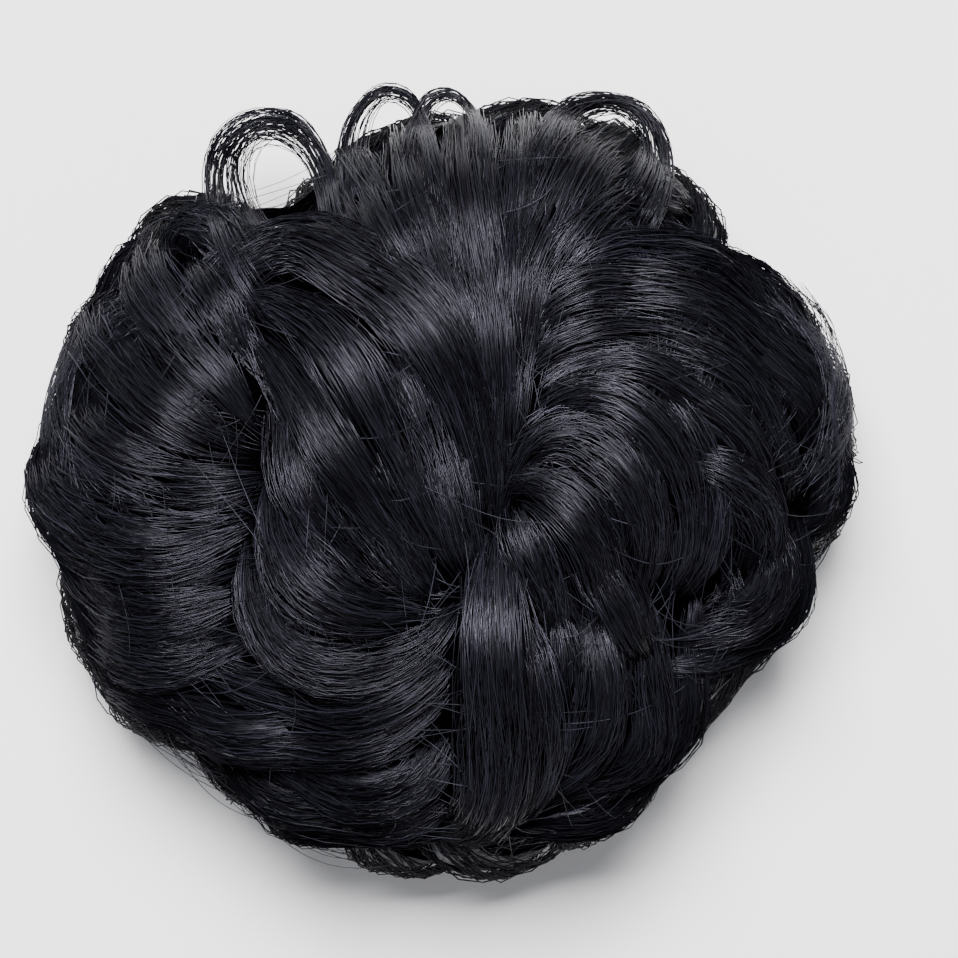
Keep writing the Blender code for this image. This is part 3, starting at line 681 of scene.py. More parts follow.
def only(item: bpy.types.Object) -> None:
    """Make an object the one that is selected and active.

    Args:
        item: The object.
    """
    bpy.ops.object.select_all(action="DESELECT")
    item.select_set(True)
    bpy.context.view_layer.objects.active = item


def publish(item: bpy.types.Object, finish: bpy.types.Material | tuple, slot: Slot,
            *nodes: str) -> bpy.types.Object:
    """Dress a finished piece and hand it to the frame.

    Args:
        item: The piece.
        finish: Its material, or its materials in the order of its faces' numbers.
        slot: The record's slot; not used.
        nodes: The CAD nodes that it stands for.

    Returns:
        The same piece.
    """
    if item.data.materials:
        item.data.materials.clear()
    for material in finish if isinstance(finish, tuple) else (finish,):
        item.data.materials.append(material)
    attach(item, BODY)
    if nodes:
        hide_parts(*nodes)
    LOG.info("%s: %d faces", item.name, len(item.data.polygons))
    return item


def start_material(name: str) -> tuple:
    """Start a material.

    Args:
        name: Its name.

    Returns:
        The material, its node tree and its shader.
    """
    material = bpy.data.materials.new(name)
    material.use_nodes = True
    return material, material.node_tree, material.node_tree.nodes["Principled BSDF"]


def blend_colours(tree: bpy.types.NodeTree, factor: bpy.types.NodeSocket, dark_hex: str,
                  light_hex: str) -> bpy.types.NodeSocket:
    """Mix two colours by a pattern.

    Args:
        tree: The node tree.
        factor: The pattern's socket.
        dark_hex: The colour where the pattern is 0.
        light_hex: The colour where it is 1.

    Returns:
        The socket of the mixed colour.
    """
    mix = add_node(tree, "ShaderNodeMix", {"data_type": "RGBA"}, {"Factor": factor})
    mix.inputs["A"].default_value = linear_colour(dark_hex)
    mix.inputs["B"].default_value = linear_colour(light_hex)
    return mix.outputs["Result"]


@dataclass(frozen=True)
class FibreFinish:
    """Modacrylic fibre, drawn from a spinneret and left uncoated.

    The smooth round filament gives the eye a satin gleam along each strand, with a cool sheen, and
    the strands' own tints keep neighbours apart.
    """

    name: str = "modacrylic_fibre"
    dark_hex: str = "040406"
    light_hex: str = "22222B"
    sheen_hex: str = "E6E2F8"
    roughness: float = 0.33
    specular: float = 0.34
    index: float = 1.5
    dye_patch: float = 1 / 60
    tint_gain: float = 1.6

    def material(self) -> bpy.types.Material:
        """Build the material of the single strands, which reads each strand's own tint.

        Returns:
            The new material.
        """
        material, tree, shader = start_material(self.name)
        tint = add_node(tree, "ShaderNodeAttribute", {"attribute_name": "tint"})
        place = add_node(tree, "ShaderNodeTexCoord")
        # Dye takes unevenly over a few centimetres
        dye = add_node(tree, "ShaderNodeTexNoise", {}, {"Vector": place.outputs["Object"],
                                                        "Scale": 1 / self.dye_patch, "Detail": 2.0})
        both = add_node(tree, "ShaderNodeMath", {"operation": "MULTIPLY"},
                        {0: tint.outputs["Fac"], 1: dye.outputs["Fac"]})
        more = add_node(tree, "ShaderNodeMath", {"operation": "MULTIPLY"},
                        {0: both.outputs[0], 1: self.tint_gain})
        colour = blend_colours(tree, more.outputs[0], self.dark_hex, self.light_hex)
        tree.links.new(colour, shader.inputs["Base Color"])
        shader.inputs["Roughness"].default_value = self.roughness
        shader.inputs["IOR"].default_value = self.index
        shader.inputs["Specular IOR Level"].default_value = self.specular
        shader.inputs["Specular Tint"].default_value = linear_colour(self.sheen_hex)
        return material


@dataclass(frozen=True)
class CombedFinish:
    """Modacrylic fibre combed one way and packed under the loose strands.

    It gives the eye a nearly black ground with fine streaks along the lock. A fibre is 0.07 mm thick,
    too fine to show, so a streak is drawn about four times as wide.
    """

    name: str = "combed_modacrylic"
    dark_hex: str = "010102"
    light_hex: str = "0C0C11"
    sheen_hex: str = "E4E2F6"
    strand_width: float = 0.30 * MM
    streak_length: float = 14.0 * MM
    dark_end: float = 0.38
    light_end: float = 0.66
    roughness: float = 0.42
    specular: float = 0.22

    def material(self, by_flow: bool) -> bpy.types.Material:
        """Build the material.

        Args:
            by_flow: True where the piece's map runs along its locks, in metres.

        Returns:
            The new material.
        """
        material, tree, shader = start_material(self.name)
        if by_flow:
            place = add_node(tree, "ShaderNodeUVMap", {"uv_map": "flow"}).outputs["UV"]
            size = (1 / self.strand_width, 1 / self.streak_length, 1.0)
        else:
            place = add_node(tree, "ShaderNodeTexCoord").outputs["Object"]
            size = (1 / self.strand_width, 1 / self.strand_width, 1 / self.streak_length)
        mapping = add_node(tree, "ShaderNodeMapping", {}, {"Vector": place, "Scale": size})
        streak = add_node(tree, "ShaderNodeTexNoise", {}, {"Vector": mapping.outputs["Vector"], "Scale": 1.0,
                                                           "Detail": 3.0})
        ramp = add_node(tree, "ShaderNodeValToRGB", {}, {"Fac": streak.outputs["Fac"]})
        stops = ((self.dark_end, self.dark_hex), (self.light_end, self.light_hex))
        for stop, (position, hex_code) in zip(ramp.color_ramp.elements, stops):
            stop.position = position
            stop.color = linear_colour(hex_code)
        bump = add_node(tree, "ShaderNodeBump", {}, {"Height": streak.outputs["Fac"], "Strength": 0.8,
                                                     "Distance": self.strand_width / 2})
        tree.links.new(ramp.outputs["Color"], shader.inputs["Base Color"])
        tree.links.new(bump.outputs["Normal"], shader.inputs["Normal"])
        shader.inputs["Roughness"].default_value = self.roughness
        shader.inputs["Specular IOR Level"].default_value = self.specular
        shader.inputs["Specular Tint"].default_value = linear_colour(self.sheen_hex)
        return material


@dataclass(frozen=True)
class StrandStyle:
    """How strands lie in a lock; lengths in metres, other values as shares.

    The real fibre is 0.07 mm thick, too fine to show, so it is drawn about three times as coarse.
    """

    radius: float = 0.095 * MM
    pitch: float = 4.4 * MM
    fewest: int = 7
    most: int = 18
    per_millimetre: float = 10.2
    furthest: float = 1.3
    round_off: float = 0.55
    wisp_width: float = 2.1 * MM
    gather: float = 0.35
    wander: float = 0.24
    stray: float = 0.15
    loose: float = 0.40 * MM
    wisp_lift: float = 0.45 * MM
    kink: float = 0.28 * MM
    kink_length: float = 14.0 * MM
    cross_share: float = 0.26
    cross_reach: float = 1.1
    frizz_share: float = 0.14
    frizz_lift: float = 1.2 * MM
    under_share: float = 0.08
    tip_spread: float = 0.18
    wisp_beats: tuple = (0.5, 1.3)
    stirs: tuple = (0.3, 1.0)
    own_beats: tuple = (0.6, 2.2)
    loose_range: tuple = (-1.4, 0.8)
    cross_lifts: tuple = (0.1 * MM, 0.6 * MM)
    thickness: tuple = (0.7, 1.2)


def lay_strands(strands: Strands, spine: Spine, count: int, style: StrandStyle, draw: np.random.Generator,
                root_spread: float = 0.24) -> None:
    """Lay strands over the section of a lock, gathered in wisps, a few of them crossing it.

    Args:
        strands: Where the strands go.
        spine: The lock's middle line and section.
        count: How many strands.
        style: How they lie.
        draw: The source of random numbers.
        root_spread: Share of the length over which the strands' roots are spread.
    """
    stations = int(np.clip(round(spine.length / style.pitch), style.fewest, style.most)) + 1
    start = root_spread * draw.random(count) ** 2
    end = 1 - style.tip_spread * draw.random(count) ** 1.5
    share = start[:, None] + (end - start)[:, None] * np.linspace(0, 1, stations)
    centre, side, up, half_width, half_depth = spine.read(share)
    arch = np.sin(math.pi * share)

    wisps = max(3, round(2 * float(spine.half_width.max()) / style.wisp_width))
    wisp = draw.integers(0, wisps, count)
    phase = draw.uniform(0, math.tau, wisps)[wisp][:, None]
    beat = draw.uniform(*style.wisp_beats, wisps)[wisp][:, None]
    stir = draw.uniform(*style.stirs, wisps)[wisp][:, None]
    own_phase = draw.uniform(0, math.tau, count)[:, None]
    own_beat = draw.uniform(*style.own_beats, count)[:, None]
    middle = ((wisp + 0.5) / wisps * 2 - 1)[:, None]
    offset = draw.normal(0, 0.9 / wisps, count)[:, None] * (style.gather + (1 - style.gather) * arch)
    across = middle + offset + style.wander * stir * np.sin(math.tau * beat * share + phase)
    across = across + style.stray * np.sin(math.tau * own_beat * share + own_phase)
    crossing = (draw.random(count) < style.cross_share)[:, None]
    far_side = draw.uniform(-style.cross_reach, style.cross_reach, (2, count))[:, :, None]
    across = np.where(crossing, far_side[0] + (far_side[1] - far_side[0]) * share, across)
    across = np.clip(across, -style.furthest, style.furthest)

    over = np.where(draw.random(count) < style.under_share, -1.0, 1.0)[:, None]
    shell = half_depth * (1 - style.round_off * across ** 2)
    lift = style.loose * draw.uniform(*style.loose_range, count)[:, None]
    lift = lift + style.wisp_lift * np.sin(math.tau * beat * 1.4 * share + 2 * phase) * arch
    kinks = spine.length / style.kink_length * draw.uniform(0.7, 1.3, count)[:, None]
    lift = lift + style.kink * np.sin(math.tau * kinks * share + 5 * own_phase) * arch
    lift = lift + crossing * draw.uniform(*style.cross_lifts, count)[:, None] * arch
    frizzy = (draw.random(count) < style.frizz_share)[:, None]
    lift = lift + frizzy * style.frizz_lift * draw.uniform(0.3, 1.0, count)[:, None] * arch ** 2
    points = centre + side * (half_width * across)[..., None] + up * ((shell + lift) * over)[..., None]
    points[..., 2] = np.maximum(points[..., 2], style.radius)
    taper = np.minimum(1, 0.15 + 8.0 * np.minimum(share - start[:, None], end[:, None] - share))
    thick = style.radius * draw.uniform(*style.thickness, count)[:, None] * taper
    strands.add(points, up, thick, draw.random(count) ** 2)


def sweep_bodies(name: str, spines: list, scale: float, sides: int = 12) -> bpy.types.Object:
    """Sweep a closed lens-shaped body along each spine and join them, mapped along their flow.

    Args:
        name: The new object's name.
        spines: The locks' spines, all with the same number of stations.
        scale: Size of the bodies' sections, as a share of the spines' own.
        sides: How many corners a section has.

    Returns:
        The new object.
    """
    angle = math.tau * np.arange(sides) / sides
    verts, quads, caps, maps = [], [], [], []
    offset = 0
    for spine in spines:
        stations = len(spine.centre)
        along = np.linspace(0, 1, stations)
        taper = np.clip(8 * np.minimum(along, 1 - along), 0.15, 1)[:, None, None] ** 0.8
        ring = (spine.side[:, None] * (np.cos(angle)[None, :] * spine.half_width[:, None])[..., None]
                + spine.up[:, None] * (np.sin(angle)[None, :] * spine.half_depth[:, None])[..., None]) * taper
        verts.append((spine.centre[:, None] + ring * scale).reshape(-1, 3))
        row = (np.arange(stations - 1) * sides)[:, None] + offset
        corner = np.arange(sides)[None, :]
        nearby = (corner + 1) % sides
        quads.append(np.stack([row + corner, row + sides + corner, row + sides + nearby, row + nearby],
                              -1).reshape(-1, 4))
        caps.append(np.stack([np.arange(sides) + offset,
                              np.arange(sides)[::-1] + offset + (stations - 1) * sides]))
        length = np.concatenate([[0], np.cumsum(np.linalg.norm(np.diff(spine.centre, axis=0), axis=1))])
        girth = 2.2 * float(spine.half_width.max()) * np.arange(sides + 1) / sides * 2
        shift = offset * 0.37 * MM
        near, far = length[:-1, None], length[1:, None]
        a, b = girth[None, :-1] + shift, girth[None, 1:] + shift
        wide = np.broadcast_arrays(a, near, a, far, b, far, b, near)
        maps.append(np.stack(wide, -1).reshape(-1, 2))
        offset += stations * sides
    cap_faces = np.concatenate(caps)
    mesh = mesh_from_faces(name, np.concatenate(verts), [np.concatenate(quads), cap_faces])
    flow = mesh.uv_layers.new(name="flow")
    places = np.concatenate([*maps, np.zeros((cap_faces.size, 2))])
    flow.uv.foreach_set("vector", places.astype(np.float32).ravel())
    return link(name, mesh)


@dataclass
class Locks:
    """The locks laid over the dome from above, with their strands."""

    dome: Dome
    style: StrandStyle
    stations: int = 26
    sink: float = 0.45
    dive: float = 0.60
    rim_dive: float = 0.15
    root_lean: float = 0.45
    lean_gain: float = 6.0
    root_full: float = 0.75
    root_spread: float = 0.24
    tucked_spread: float = 0.02
    # Strand faces on ground steeper than these limits take the darker copy of the fibre, painted shade; the
    # top fan has its own limit
    steep: float = 0.62
    crown_steep: float = 0.34
    lowest_turn: float = 0.93
    body_scale: float = 0.80
    pinch: float = 0.15
    wave: float = 1.0 * MM
    wave_length: float = 23.0 * MM
    wave_range: tuple = (0.85, 1.2)
    spines: list = field(default_factory=list)

    def spine(self, lock: Lock, draw: np.random.Generator) -> Spine:
        """Lay one lock over the dome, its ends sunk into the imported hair.

        Args:
            lock: The lock.
            draw: The source of random numbers.

        Returns:
            Its middle line and section.
        """
        half = self.dome.width / 2
        bearing, turn, over = self.dome.place(smooth_route(lock.route, self.stations))
        if not lock.tuck and over.max() <= 1:
            turn = np.minimum(turn, self.lowest_turn)
        if lock.tuck:
            down = np.linspace(1 + lock.tuck, turn[0], self.stations // 4, endpoint=False)
            lean = np.clip((bearing[0] - bearing[2]) * self.lean_gain, -self.root_lean, self.root_lean)
            bearing = np.concatenate([bearing[0] + lean * (down - turn[0]), bearing])
            turn = np.concatenate([down, turn])
            over = np.concatenate([np.ones(len(down)), over])
        along = np.linspace(0, 1, len(turn))
        full = swell(along)
        normal = self.dome.normal(bearing, turn)
        dive = dive_share(along)
        narrow = pinch(along, self.pinch)
        if lock.tuck or over[0] > 1:
            open_root = np.clip(1 - 2 * along, 0, 1)
            dive = dive * (1 - open_root) + self.rim_dive * open_root
            narrow = narrow * (1 - open_root) + open_root
            full = np.maximum(full, self.root_full * open_root)
        sink = lock.depth * half * (self.sink + self.dive * dive)
        surface = self.dome.point(bearing, turn)
        surface[:, :2] *= over[:, None]
        gone = np.concatenate([[0], np.cumsum(np.linalg.norm(np.diff(surface, axis=0), axis=1))])
        pitch = self.wave_length * draw.uniform(*self.wave_range)
        crest = (lock.crest if lock.crest >= 0 else draw.random()) * gone[-1]
        ripple = self.wave * np.cos(math.tau * (gone - crest) / pitch)
        lift = lock.rise * half * full - sink + ripple * full
        return Spine.along(surface + normal * lift[:, None], normal, lock.width * half * full * narrow,
                           lock.depth * half * full)

    def build(self, region: Region, rows: tuple, draw: np.random.Generator) -> list:
        """Build one region's bodies and strands.

        Args:
            region: The region.
            rows: Its locks.
            draw: The source of random numbers.

        Returns:
            The bodies' object and the strands' object.
        """
        spines = [self.spine(row, draw) for row in rows]
        strands = Strands(steep=self.crown_steep if region is Region.TOP_FAN else self.steep)
        for row, spine in zip(rows, spines):
            count = round(row.width * self.dome.width / 2 / MM * self.style.per_millimetre)
            lay_strands(strands, spine, count, self.style, draw,
                        self.tucked_spread if row.tuck else self.root_spread)
        self.spines += spines
        return [sweep_bodies(f"locks_{region.value}", spines, self.body_scale),
                strands.build(f"strands_{region.value}")]


@dataclass
class SideLocks:
    """Locks that wrap the side from over the rim to the underside, laid by rule."""

    dome: Dome
    style: StrandStyle
    count: int = 28
    width: float = 0.24
    depth: float = 0.14
    sink: float = 0.22
    dive: float = 0.60
    start: float = 0.74
    end: float = 1.97
    slant: float = 34.0
    bow: float = 9.0
    swirls: int = 3
    jitter: float = 0.25
    unrest: float = 0.4
    sizes: tuple = (0.85, 1.15)
    seed: int = 7
    stations: int = 20
    pinch: float = 0.45
    body_scale: float = 0.80
    per_millimetre: float = 5.2
    spines: list = field(default_factory=list)

    def spine(self, bearing: float, slant: float, bow: float, size: float) -> Spine:
        """Lay one slanting, bowed lock down the side.

        Args:
            bearing: Where it starts, in radians.
            slant: How far it turns aside on its way.
            bow: How far its middle bows aside.
            size: Its size as a share of the others'.

        Returns:
            Its middle line and section.
        """
        half = self.dome.width / 2
        share = np.linspace(0, 1, self.stations)
        full = swell(share) * size
        turn = self.start + (self.end - self.start) * share
        here = bearing + slant * (share - 0.5) + bow * np.sin(math.pi * share)
        normal = self.dome.normal(here, turn)
        sink = self.depth * half * (self.sink + self.dive * dive_share(share))
        centre = self.dome.point(here, turn) - normal * sink[:, None]
        narrow = pinch(share, self.pinch)
        return Spine.along(centre, normal, self.width * half * full * narrow, self.depth * half * full)

    def build(self, draw: np.random.Generator) -> list:
        """Build the side's bodies and strands, in the same places as the solid's.

        Args:
            draw: The source of random numbers.

        Returns:
            The bodies' object and the strands' object.
        """
        places = random.Random(self.seed)
        spines = []
        strands = Strands()
        for k in range(self.count):
            bearing = math.tau * (k + places.uniform(-self.jitter, self.jitter)) / self.count
            swirl = math.sin(self.swirls * bearing) + places.uniform(-self.unrest, self.unrest)
            bow = math.radians(self.bow) * places.uniform(-1.0, 1.0)
            size = places.uniform(*self.sizes)
            spine = self.spine(bearing, math.radians(self.slant) * swirl, bow, size)
            spines.append(spine)
            count = round(self.width * self.dome.width / 2 / MM * self.per_millimetre)
            lay_strands(strands, spine, count, self.style, draw)
        self.spines += spines
        return [sweep_bodies("locks_side", spines, self.body_scale), strands.build("strands_side")]


@dataclass
class OpenLoops:
    """The see-through loops of sparse hair that stand out along the top edge."""

    dome: Dome
    style: StrandStyle
    stations: int = 20
    outermost: float = 1.07
    draw_power: float = 1.8
    sway: float = 0.05
    top_hold: float = 0.80
    foot_spread: float = 0.16
    foot_rise: float = 0.24
    # Loop strands over steep ground take the darker copy of the fibre: painted shade
    steep: float = 0.05
    foot_lift: float = 2.0 * MM
    foot_dive: float = 5.0 * MM
    sway_beats: tuple = (0.5, 1.4)
    thickness: tuple = (0.6, 1.1)

    def fill(self, strands: Strands, loop: Loop, draw: np.random.Generator) -> None:
        """Fill a loop with sparse strands, one arc inside the other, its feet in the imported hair.

        Args:
            strands: Where the strands go.
            loop: The loop.
            draw: The source of random numbers.
        """
        count = loop.strands
        half = self.dome.width / 2
        share = np.linspace(0, 1, self.stations)
        route = smooth_route(loop.route, 3 * self.stations)
        grid = np.linspace(0, 1, len(route))
        starts, ends = draw.uniform(0, self.foot_spread, (2, count, 1))
        reach = starts + (1 - ends - starts) * share
        route = np.stack([np.interp(reach, grid, route[:, 0]), np.interp(reach, grid, route[:, 1])], -1)
        arch = np.sin(math.pi * share)
        drawn = loop.draw_in * draw.random(count)[:, None] ** self.draw_power
        scale = self.outermost - drawn * (1 - self.top_hold * arch ** 2)
        phase = draw.uniform(0, math.tau, count)[:, None]
        beat = draw.uniform(*self.sway_beats, count)[:, None]
        scale = scale + self.sway * np.sin(math.tau * beat * share + phase)
        anchor = np.array(loop.anchor)
        flat = anchor + (route - anchor) * scale[..., None]
        tilt = draw.uniform(-1, 1, count)[:, None] * loop.depth * half / 2
        height = self.dome.height * (loop.height + self.foot_rise * (1 - arch)) + tilt * (0.6 + 0.7 * arch)
        bearing, turn, over = self.dome.place(flat)
        ground = self.dome.point(bearing, turn)[..., 2] + self.foot_lift - self.foot_dive * (1 - arch) ** 5
        height = np.where(over > 1, height, np.maximum(height, ground))
        points = np.concatenate([self.dome.seen(flat), height[..., None]], -1)
        ups = self.dome.normal(bearing, turn)
        taper = 1 - 0.5 * np.abs(2 * share - 1) ** 6
        thick = self.style.radius * draw.uniform(*self.thickness, count)[:, None] * taper
        strands.add(points, ups, thick, draw.random(count) ** 2)

    def build(self, draw: np.random.Generator) -> bpy.types.Object:
        """Build the loops' strands.

        Args:
            draw: The source of random numbers.

        Returns:
            The new object.
        """
        strands = Strands(steep=self.steep)
        for loop in LOOPS:
            self.fill(strands, loop, draw)
        return strands.build("open_loops")


@dataclass
class Skin:
    """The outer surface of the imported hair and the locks' bodies, which loose hairs are laid on."""

    tree: BVHTree
    beside: float = 20 * MM

    @classmethod
    def of(cls, items: list) -> "Skin":
        """Read the surface of several objects together.

        Args:
            items: The objects.

        Returns:
            Their surface.
        """
        places, faces = [], []
        for item in items:
            faces += [[corner + len(places) for corner in face.vertices] for face in item.data.polygons]
            places += [tuple(vertex.co) for vertex in item.data.vertices]
        return cls(BVHTree.FromPolygons(places, faces))

    def lay(self, points: np.ndarray, lifts: np.ndarray) -> tuple:
        """Move points onto the surface.

        Args:
            points: Rows of points near it.
            lifts: How far over the surface each point ends.

        Returns:
            The points and the surface's normals there.
        """
        placed, normals = [], []
        for point, lift in zip(points, lifts):
            spot, normal, _, _ = self.tree.find_nearest(Vector(point))
            placed.append(spot + normal * lift)
            normals.append(normal)
        return np.array(placed), np.array(normals)

    def drop(self, point: tuple) -> tuple:
        """Find the surface straight under a point, or the rim's height beside it where there is none.

        Args:
            point: X and Y of a point seen from above.

        Returns:
            The place found.
        """
        spot, _, _, _ = self.tree.ray_cast(Vector((*point, 1.0)), Vector((0, 0, -1)))
        return spot or (*point, self.beside)


@dataclass
class StrayHairs:
    """Single hairs that have come loose and curl over the locks."""

    dome: Dome
    skin: Skin
    spines: list
    count: int = 1080
    stations: int = 13
    radius: float = 0.062 * MM
    shortest: float = 10 * MM
    longest: float = 38 * MM
    curl: float = 42.0
    astray: float = 25.0
    passes: int = 9
    stand: float = 0.9 * MM
    end_depth: float = 0.3 * MM
    shown_lift: float = 1.3 * MM
    lifts: tuple = (-0.5 * MM, 0.9 * MM)
    # Tints run lighter than the locks' strands: painted light, for loose hairs lit from all round
    tints: tuple = (0.3, 1.0)

    def add(self, strands: Strands, path: np.ndarray, lift: float, tint: float) -> None:
        """Add one hair along a rough path, its ends tucked into the bun.

        Args:
            strands: Where the hair goes.
            path: Rows of points near the surface.
            lift: How far over its stand its middle rises.
            tint: 0 dark to 1 light.
        """
        arch = np.sin(math.pi * np.linspace(0, 1, len(path))) ** 0.6
        points, normals = self.skin.lay(path, (lift + self.stand) * arch - self.end_depth * (1 - arch))
        even_out(points, self.passes)
        radii = np.full((1, len(points)), self.radius)
        strands.add(points[None], normals[None], radii, np.array([tint]))

    def build(self, draw: np.random.Generator) -> bpy.types.Object:
        """Build the random hairs and the ones that the photograph shows.

        Args:
            draw: The source of random numbers.

        Returns:
            The new object.
        """
        strands = Strands()
        for _ in range(self.count):
            spine = self.spines[draw.integers(len(self.spines))]
            station = draw.integers(1, len(spine.centre) - 1)
            root, normal = spine.centre[station], spine.up[station]
            east = unit(spine.centre[station + 1] - spine.centre[station - 1])
            north = np.cross(normal, east)
            length = draw.uniform(self.shortest, self.longest)
            step = length / (self.stations - 1)
            bend = draw.normal(0, self.curl) * (1 + draw.uniform(-1, 1) * np.linspace(-1, 1, self.stations))
            heading = math.radians(draw.normal(0, self.astray)) + np.cumsum(bend * step)
            steps = step * (np.cos(heading)[:, None] * east + np.sin(heading)[:, None] * north)
            path = root + np.cumsum(steps, 0)
            self.add(strands, path, draw.uniform(*self.lifts), draw.uniform(*self.tints))
        for route in STRAYS:
            flat = self.dome.seen(smooth_route(route, self.stations))
            path = np.array([self.skin.drop(spot) for spot in flat])
            # The shown hairs take the lightest tint: painted light
            self.add(strands, path, self.shown_lift, 1.0)
        return strands.build("stray_hairs")


@dataclass
class Underlay:
    """Sparse strands in the valleys between the locks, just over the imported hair."""

    skin: Skin
    style: StrandStyle
    per_lock: int = 12
    stations: int = 11
    spread: float = 2.0
    lift: float = 0.25 * MM
    shortest: float = 0.35

    def build(self, spines: list, draw: np.random.Generator) -> bpy.types.Object:
        """Build the strands, each beside one lock and along it.

        Args:
            spines: The locks' middle lines.
            draw: The source of random numbers.

        Returns:
            The new object.
        """
        strands = Strands()
        for spine in spines:
            for _ in range(self.per_lock):
                first, last = sorted(draw.uniform(0, 1, 2))
                share = np.linspace(first, max(last, min(first + self.shortest, 1.0)), self.stations)
                centre, side, up, half_width, _ = spine.read(share)
                across = draw.uniform(-self.spread, self.spread) * float(spine.half_width.max())
                points, normals = self.skin.lay(centre + side * across, np.full(self.stations, self.lift))
                even_out(points, 1)
                radii = np.full((1, self.stations), self.style.radius)
                strands.add(points[None], normals[None], radii, draw.random(1) ** 2)
        return strands.build("underlay")


@dataclass
class CrossingWisps:
    """Thin, loose wisps that wander from one lock over the next and blend them."""

    dome: Dome
    skin: Skin
    strands: int = 24
    stations: int = 15
    fine: int = 60
    spread: float = 0.060
    end_spread: float = 0.35
    radius: float = 0.080 * MM
    rises: tuple = (0.1 * MM, 0.7 * MM)
    sink: float = 0.1 * MM

    def build(self, draw: np.random.Generator) -> bpy.types.Object:
        """Build the wisps along their routes.

        Args:
            draw: The source of random numbers.

        Returns:
            The new object.
        """
        strands = Strands()
        share = np.linspace(0, 1, self.stations)
        for route in WISPS:
            for _ in range(self.strands):
                first = self.end_spread * draw.random() ** 1.5
                last = 1 - self.end_spread * draw.random() ** 1.5
                rows = smooth_route(route, self.fine)
                flat = rows[((self.fine - 1) * (first + (last - first) * share)).astype(int)]
                across = np.gradient(flat, axis=0)[:, ::-1] * (-1, 1)
                lean = draw.normal(0, 0.5, 2)
                sway = 0.3 * np.sin(7 * share + 9 * lean[0])
                apart = self.spread * (lean[0] + (lean[1] - lean[0]) * share + sway)
                flat = self.dome.seen(flat + unit(across) * apart[:, None])
                path = np.array([self.skin.drop(spot) for spot in flat])
                rise = draw.uniform(*self.rises) * np.sin(math.pi * share) - self.sink
                points, normals = self.skin.lay(path, rise)
                even_out(points, 2)
                thick = self.radius * np.minimum(1, 0.2 + 6 * np.minimum(share, 1 - share))
                strands.add(points[None], normals[None], thick[None], draw.random(1) ** 2)
        return strands.build("crossing_wisps")


@dataclass
class EdgeMist:
    """Sparse fine hairs that stand off the lower left rim."""

    dome: Dome
    count: int = 55
    stations: int = 16
    radius: float = 0.07 * MM
    first: float = 203.0
    last: float = 256.0
    half_spans: tuple = (6.0, 17.0)
    turns: tuple = (0.85, 1.35)
    stands: tuple = (-0.5 * MM, 2.4 * MM)
    end_depth: float = 1.5 * MM

    def build(self, draw: np.random.Generator) -> bpy.types.Object:
        """Build the hairs, each an arc beside the rim.

        Args:
            draw: The source of random numbers.

        Returns:
            The new object.
        """
        strands = Strands()
        share = np.linspace(0, 1, self.stations)
        for _ in range(self.count):
            middle = math.radians(draw.uniform(self.first, self.last))
            half = math.radians(draw.uniform(*self.half_spans))
            bearing = middle + half * (2 * share - 1)
            turn = draw.uniform(*self.turns) + draw.uniform(-0.2, 0.2) * (2 * share - 1)
            normal = self.dome.normal(bearing, turn)
            arch = np.sin(math.pi * share)
            stand = draw.uniform(*self.stands) * arch - self.end_depth * (1 - arch)
            points = self.dome.point(bearing, turn) + normal * stand[:, None]
            strands.add(points[None], normal[None], np.full((1, self.stations), self.radius), draw.random(1))
        return strands.build("edge_mist")


@dataclass
class Wefts:
    """The underside: flat wefts that leave the band, swirl out over the base and turn up at the rim."""

    style: StrandStyle
    count: int = 30
    per_weft: int = 46
    stations: int = 26
    inner: float = 21.2 * MM
    outer: float = 43.5 * MM
    swirl: float = 38.0
    width: float = 8.0 * MM
    depth: float = 1.2 * MM
    clearance: float = 0.85 * MM
    band_rise: float = 2.6 * MM
    rim_rise: float = 3.2 * MM
    jitter: float = 0.2
    band_fade: float = 0.05
    turn_up: float = 0.78
    root_width: float = 0.55
    axis: tuple = (0.0, 0.0)

    def spine(self, k: int, draw: np.random.Generator) -> Spine:
        """Lay one weft from the band to the rim.

        Args:
            k: The weft's number.
            draw: The source of random numbers.

        Returns:
            Its middle line and section.
        """
        share = np.linspace(0, 1, self.stations)
        radius = self.inner + (self.outer - self.inner) * share
        root = math.tau * (k + draw.uniform(-self.jitter, self.jitter)) / self.count
        bearing = root + math.radians(self.swirl) * share ** 0.8
        rise = self.band_rise * np.exp(-share / self.band_fade)
        rise = rise + self.rim_rise * (np.maximum(share - self.turn_up, 0) / (1 - self.turn_up)) ** 1.5
        centre = np.column_stack([radius * np.cos(bearing) + self.axis[0],
                                  radius * np.sin(bearing) + self.axis[1], self.clearance + rise])
        normal = np.tile([0.0, 0.0, -1.0], (len(share), 1))
        width = self.width * (self.root_width + (1 - self.root_width) * share)
        return Spine.along(centre, normal, width, np.full(len(share), self.depth))

    def build(self, draw: np.random.Generator) -> bpy.types.Object:
        """Build the wefts' strands.

        Args:
            draw: The source of random numbers.

        Returns:
            The new object.
        """
        strands = Strands()
        for k in range(self.count):
            lay_strands(strands, self.spine(k, draw), self.per_weft, self.style, draw)
        return strands.build("underside_wefts")


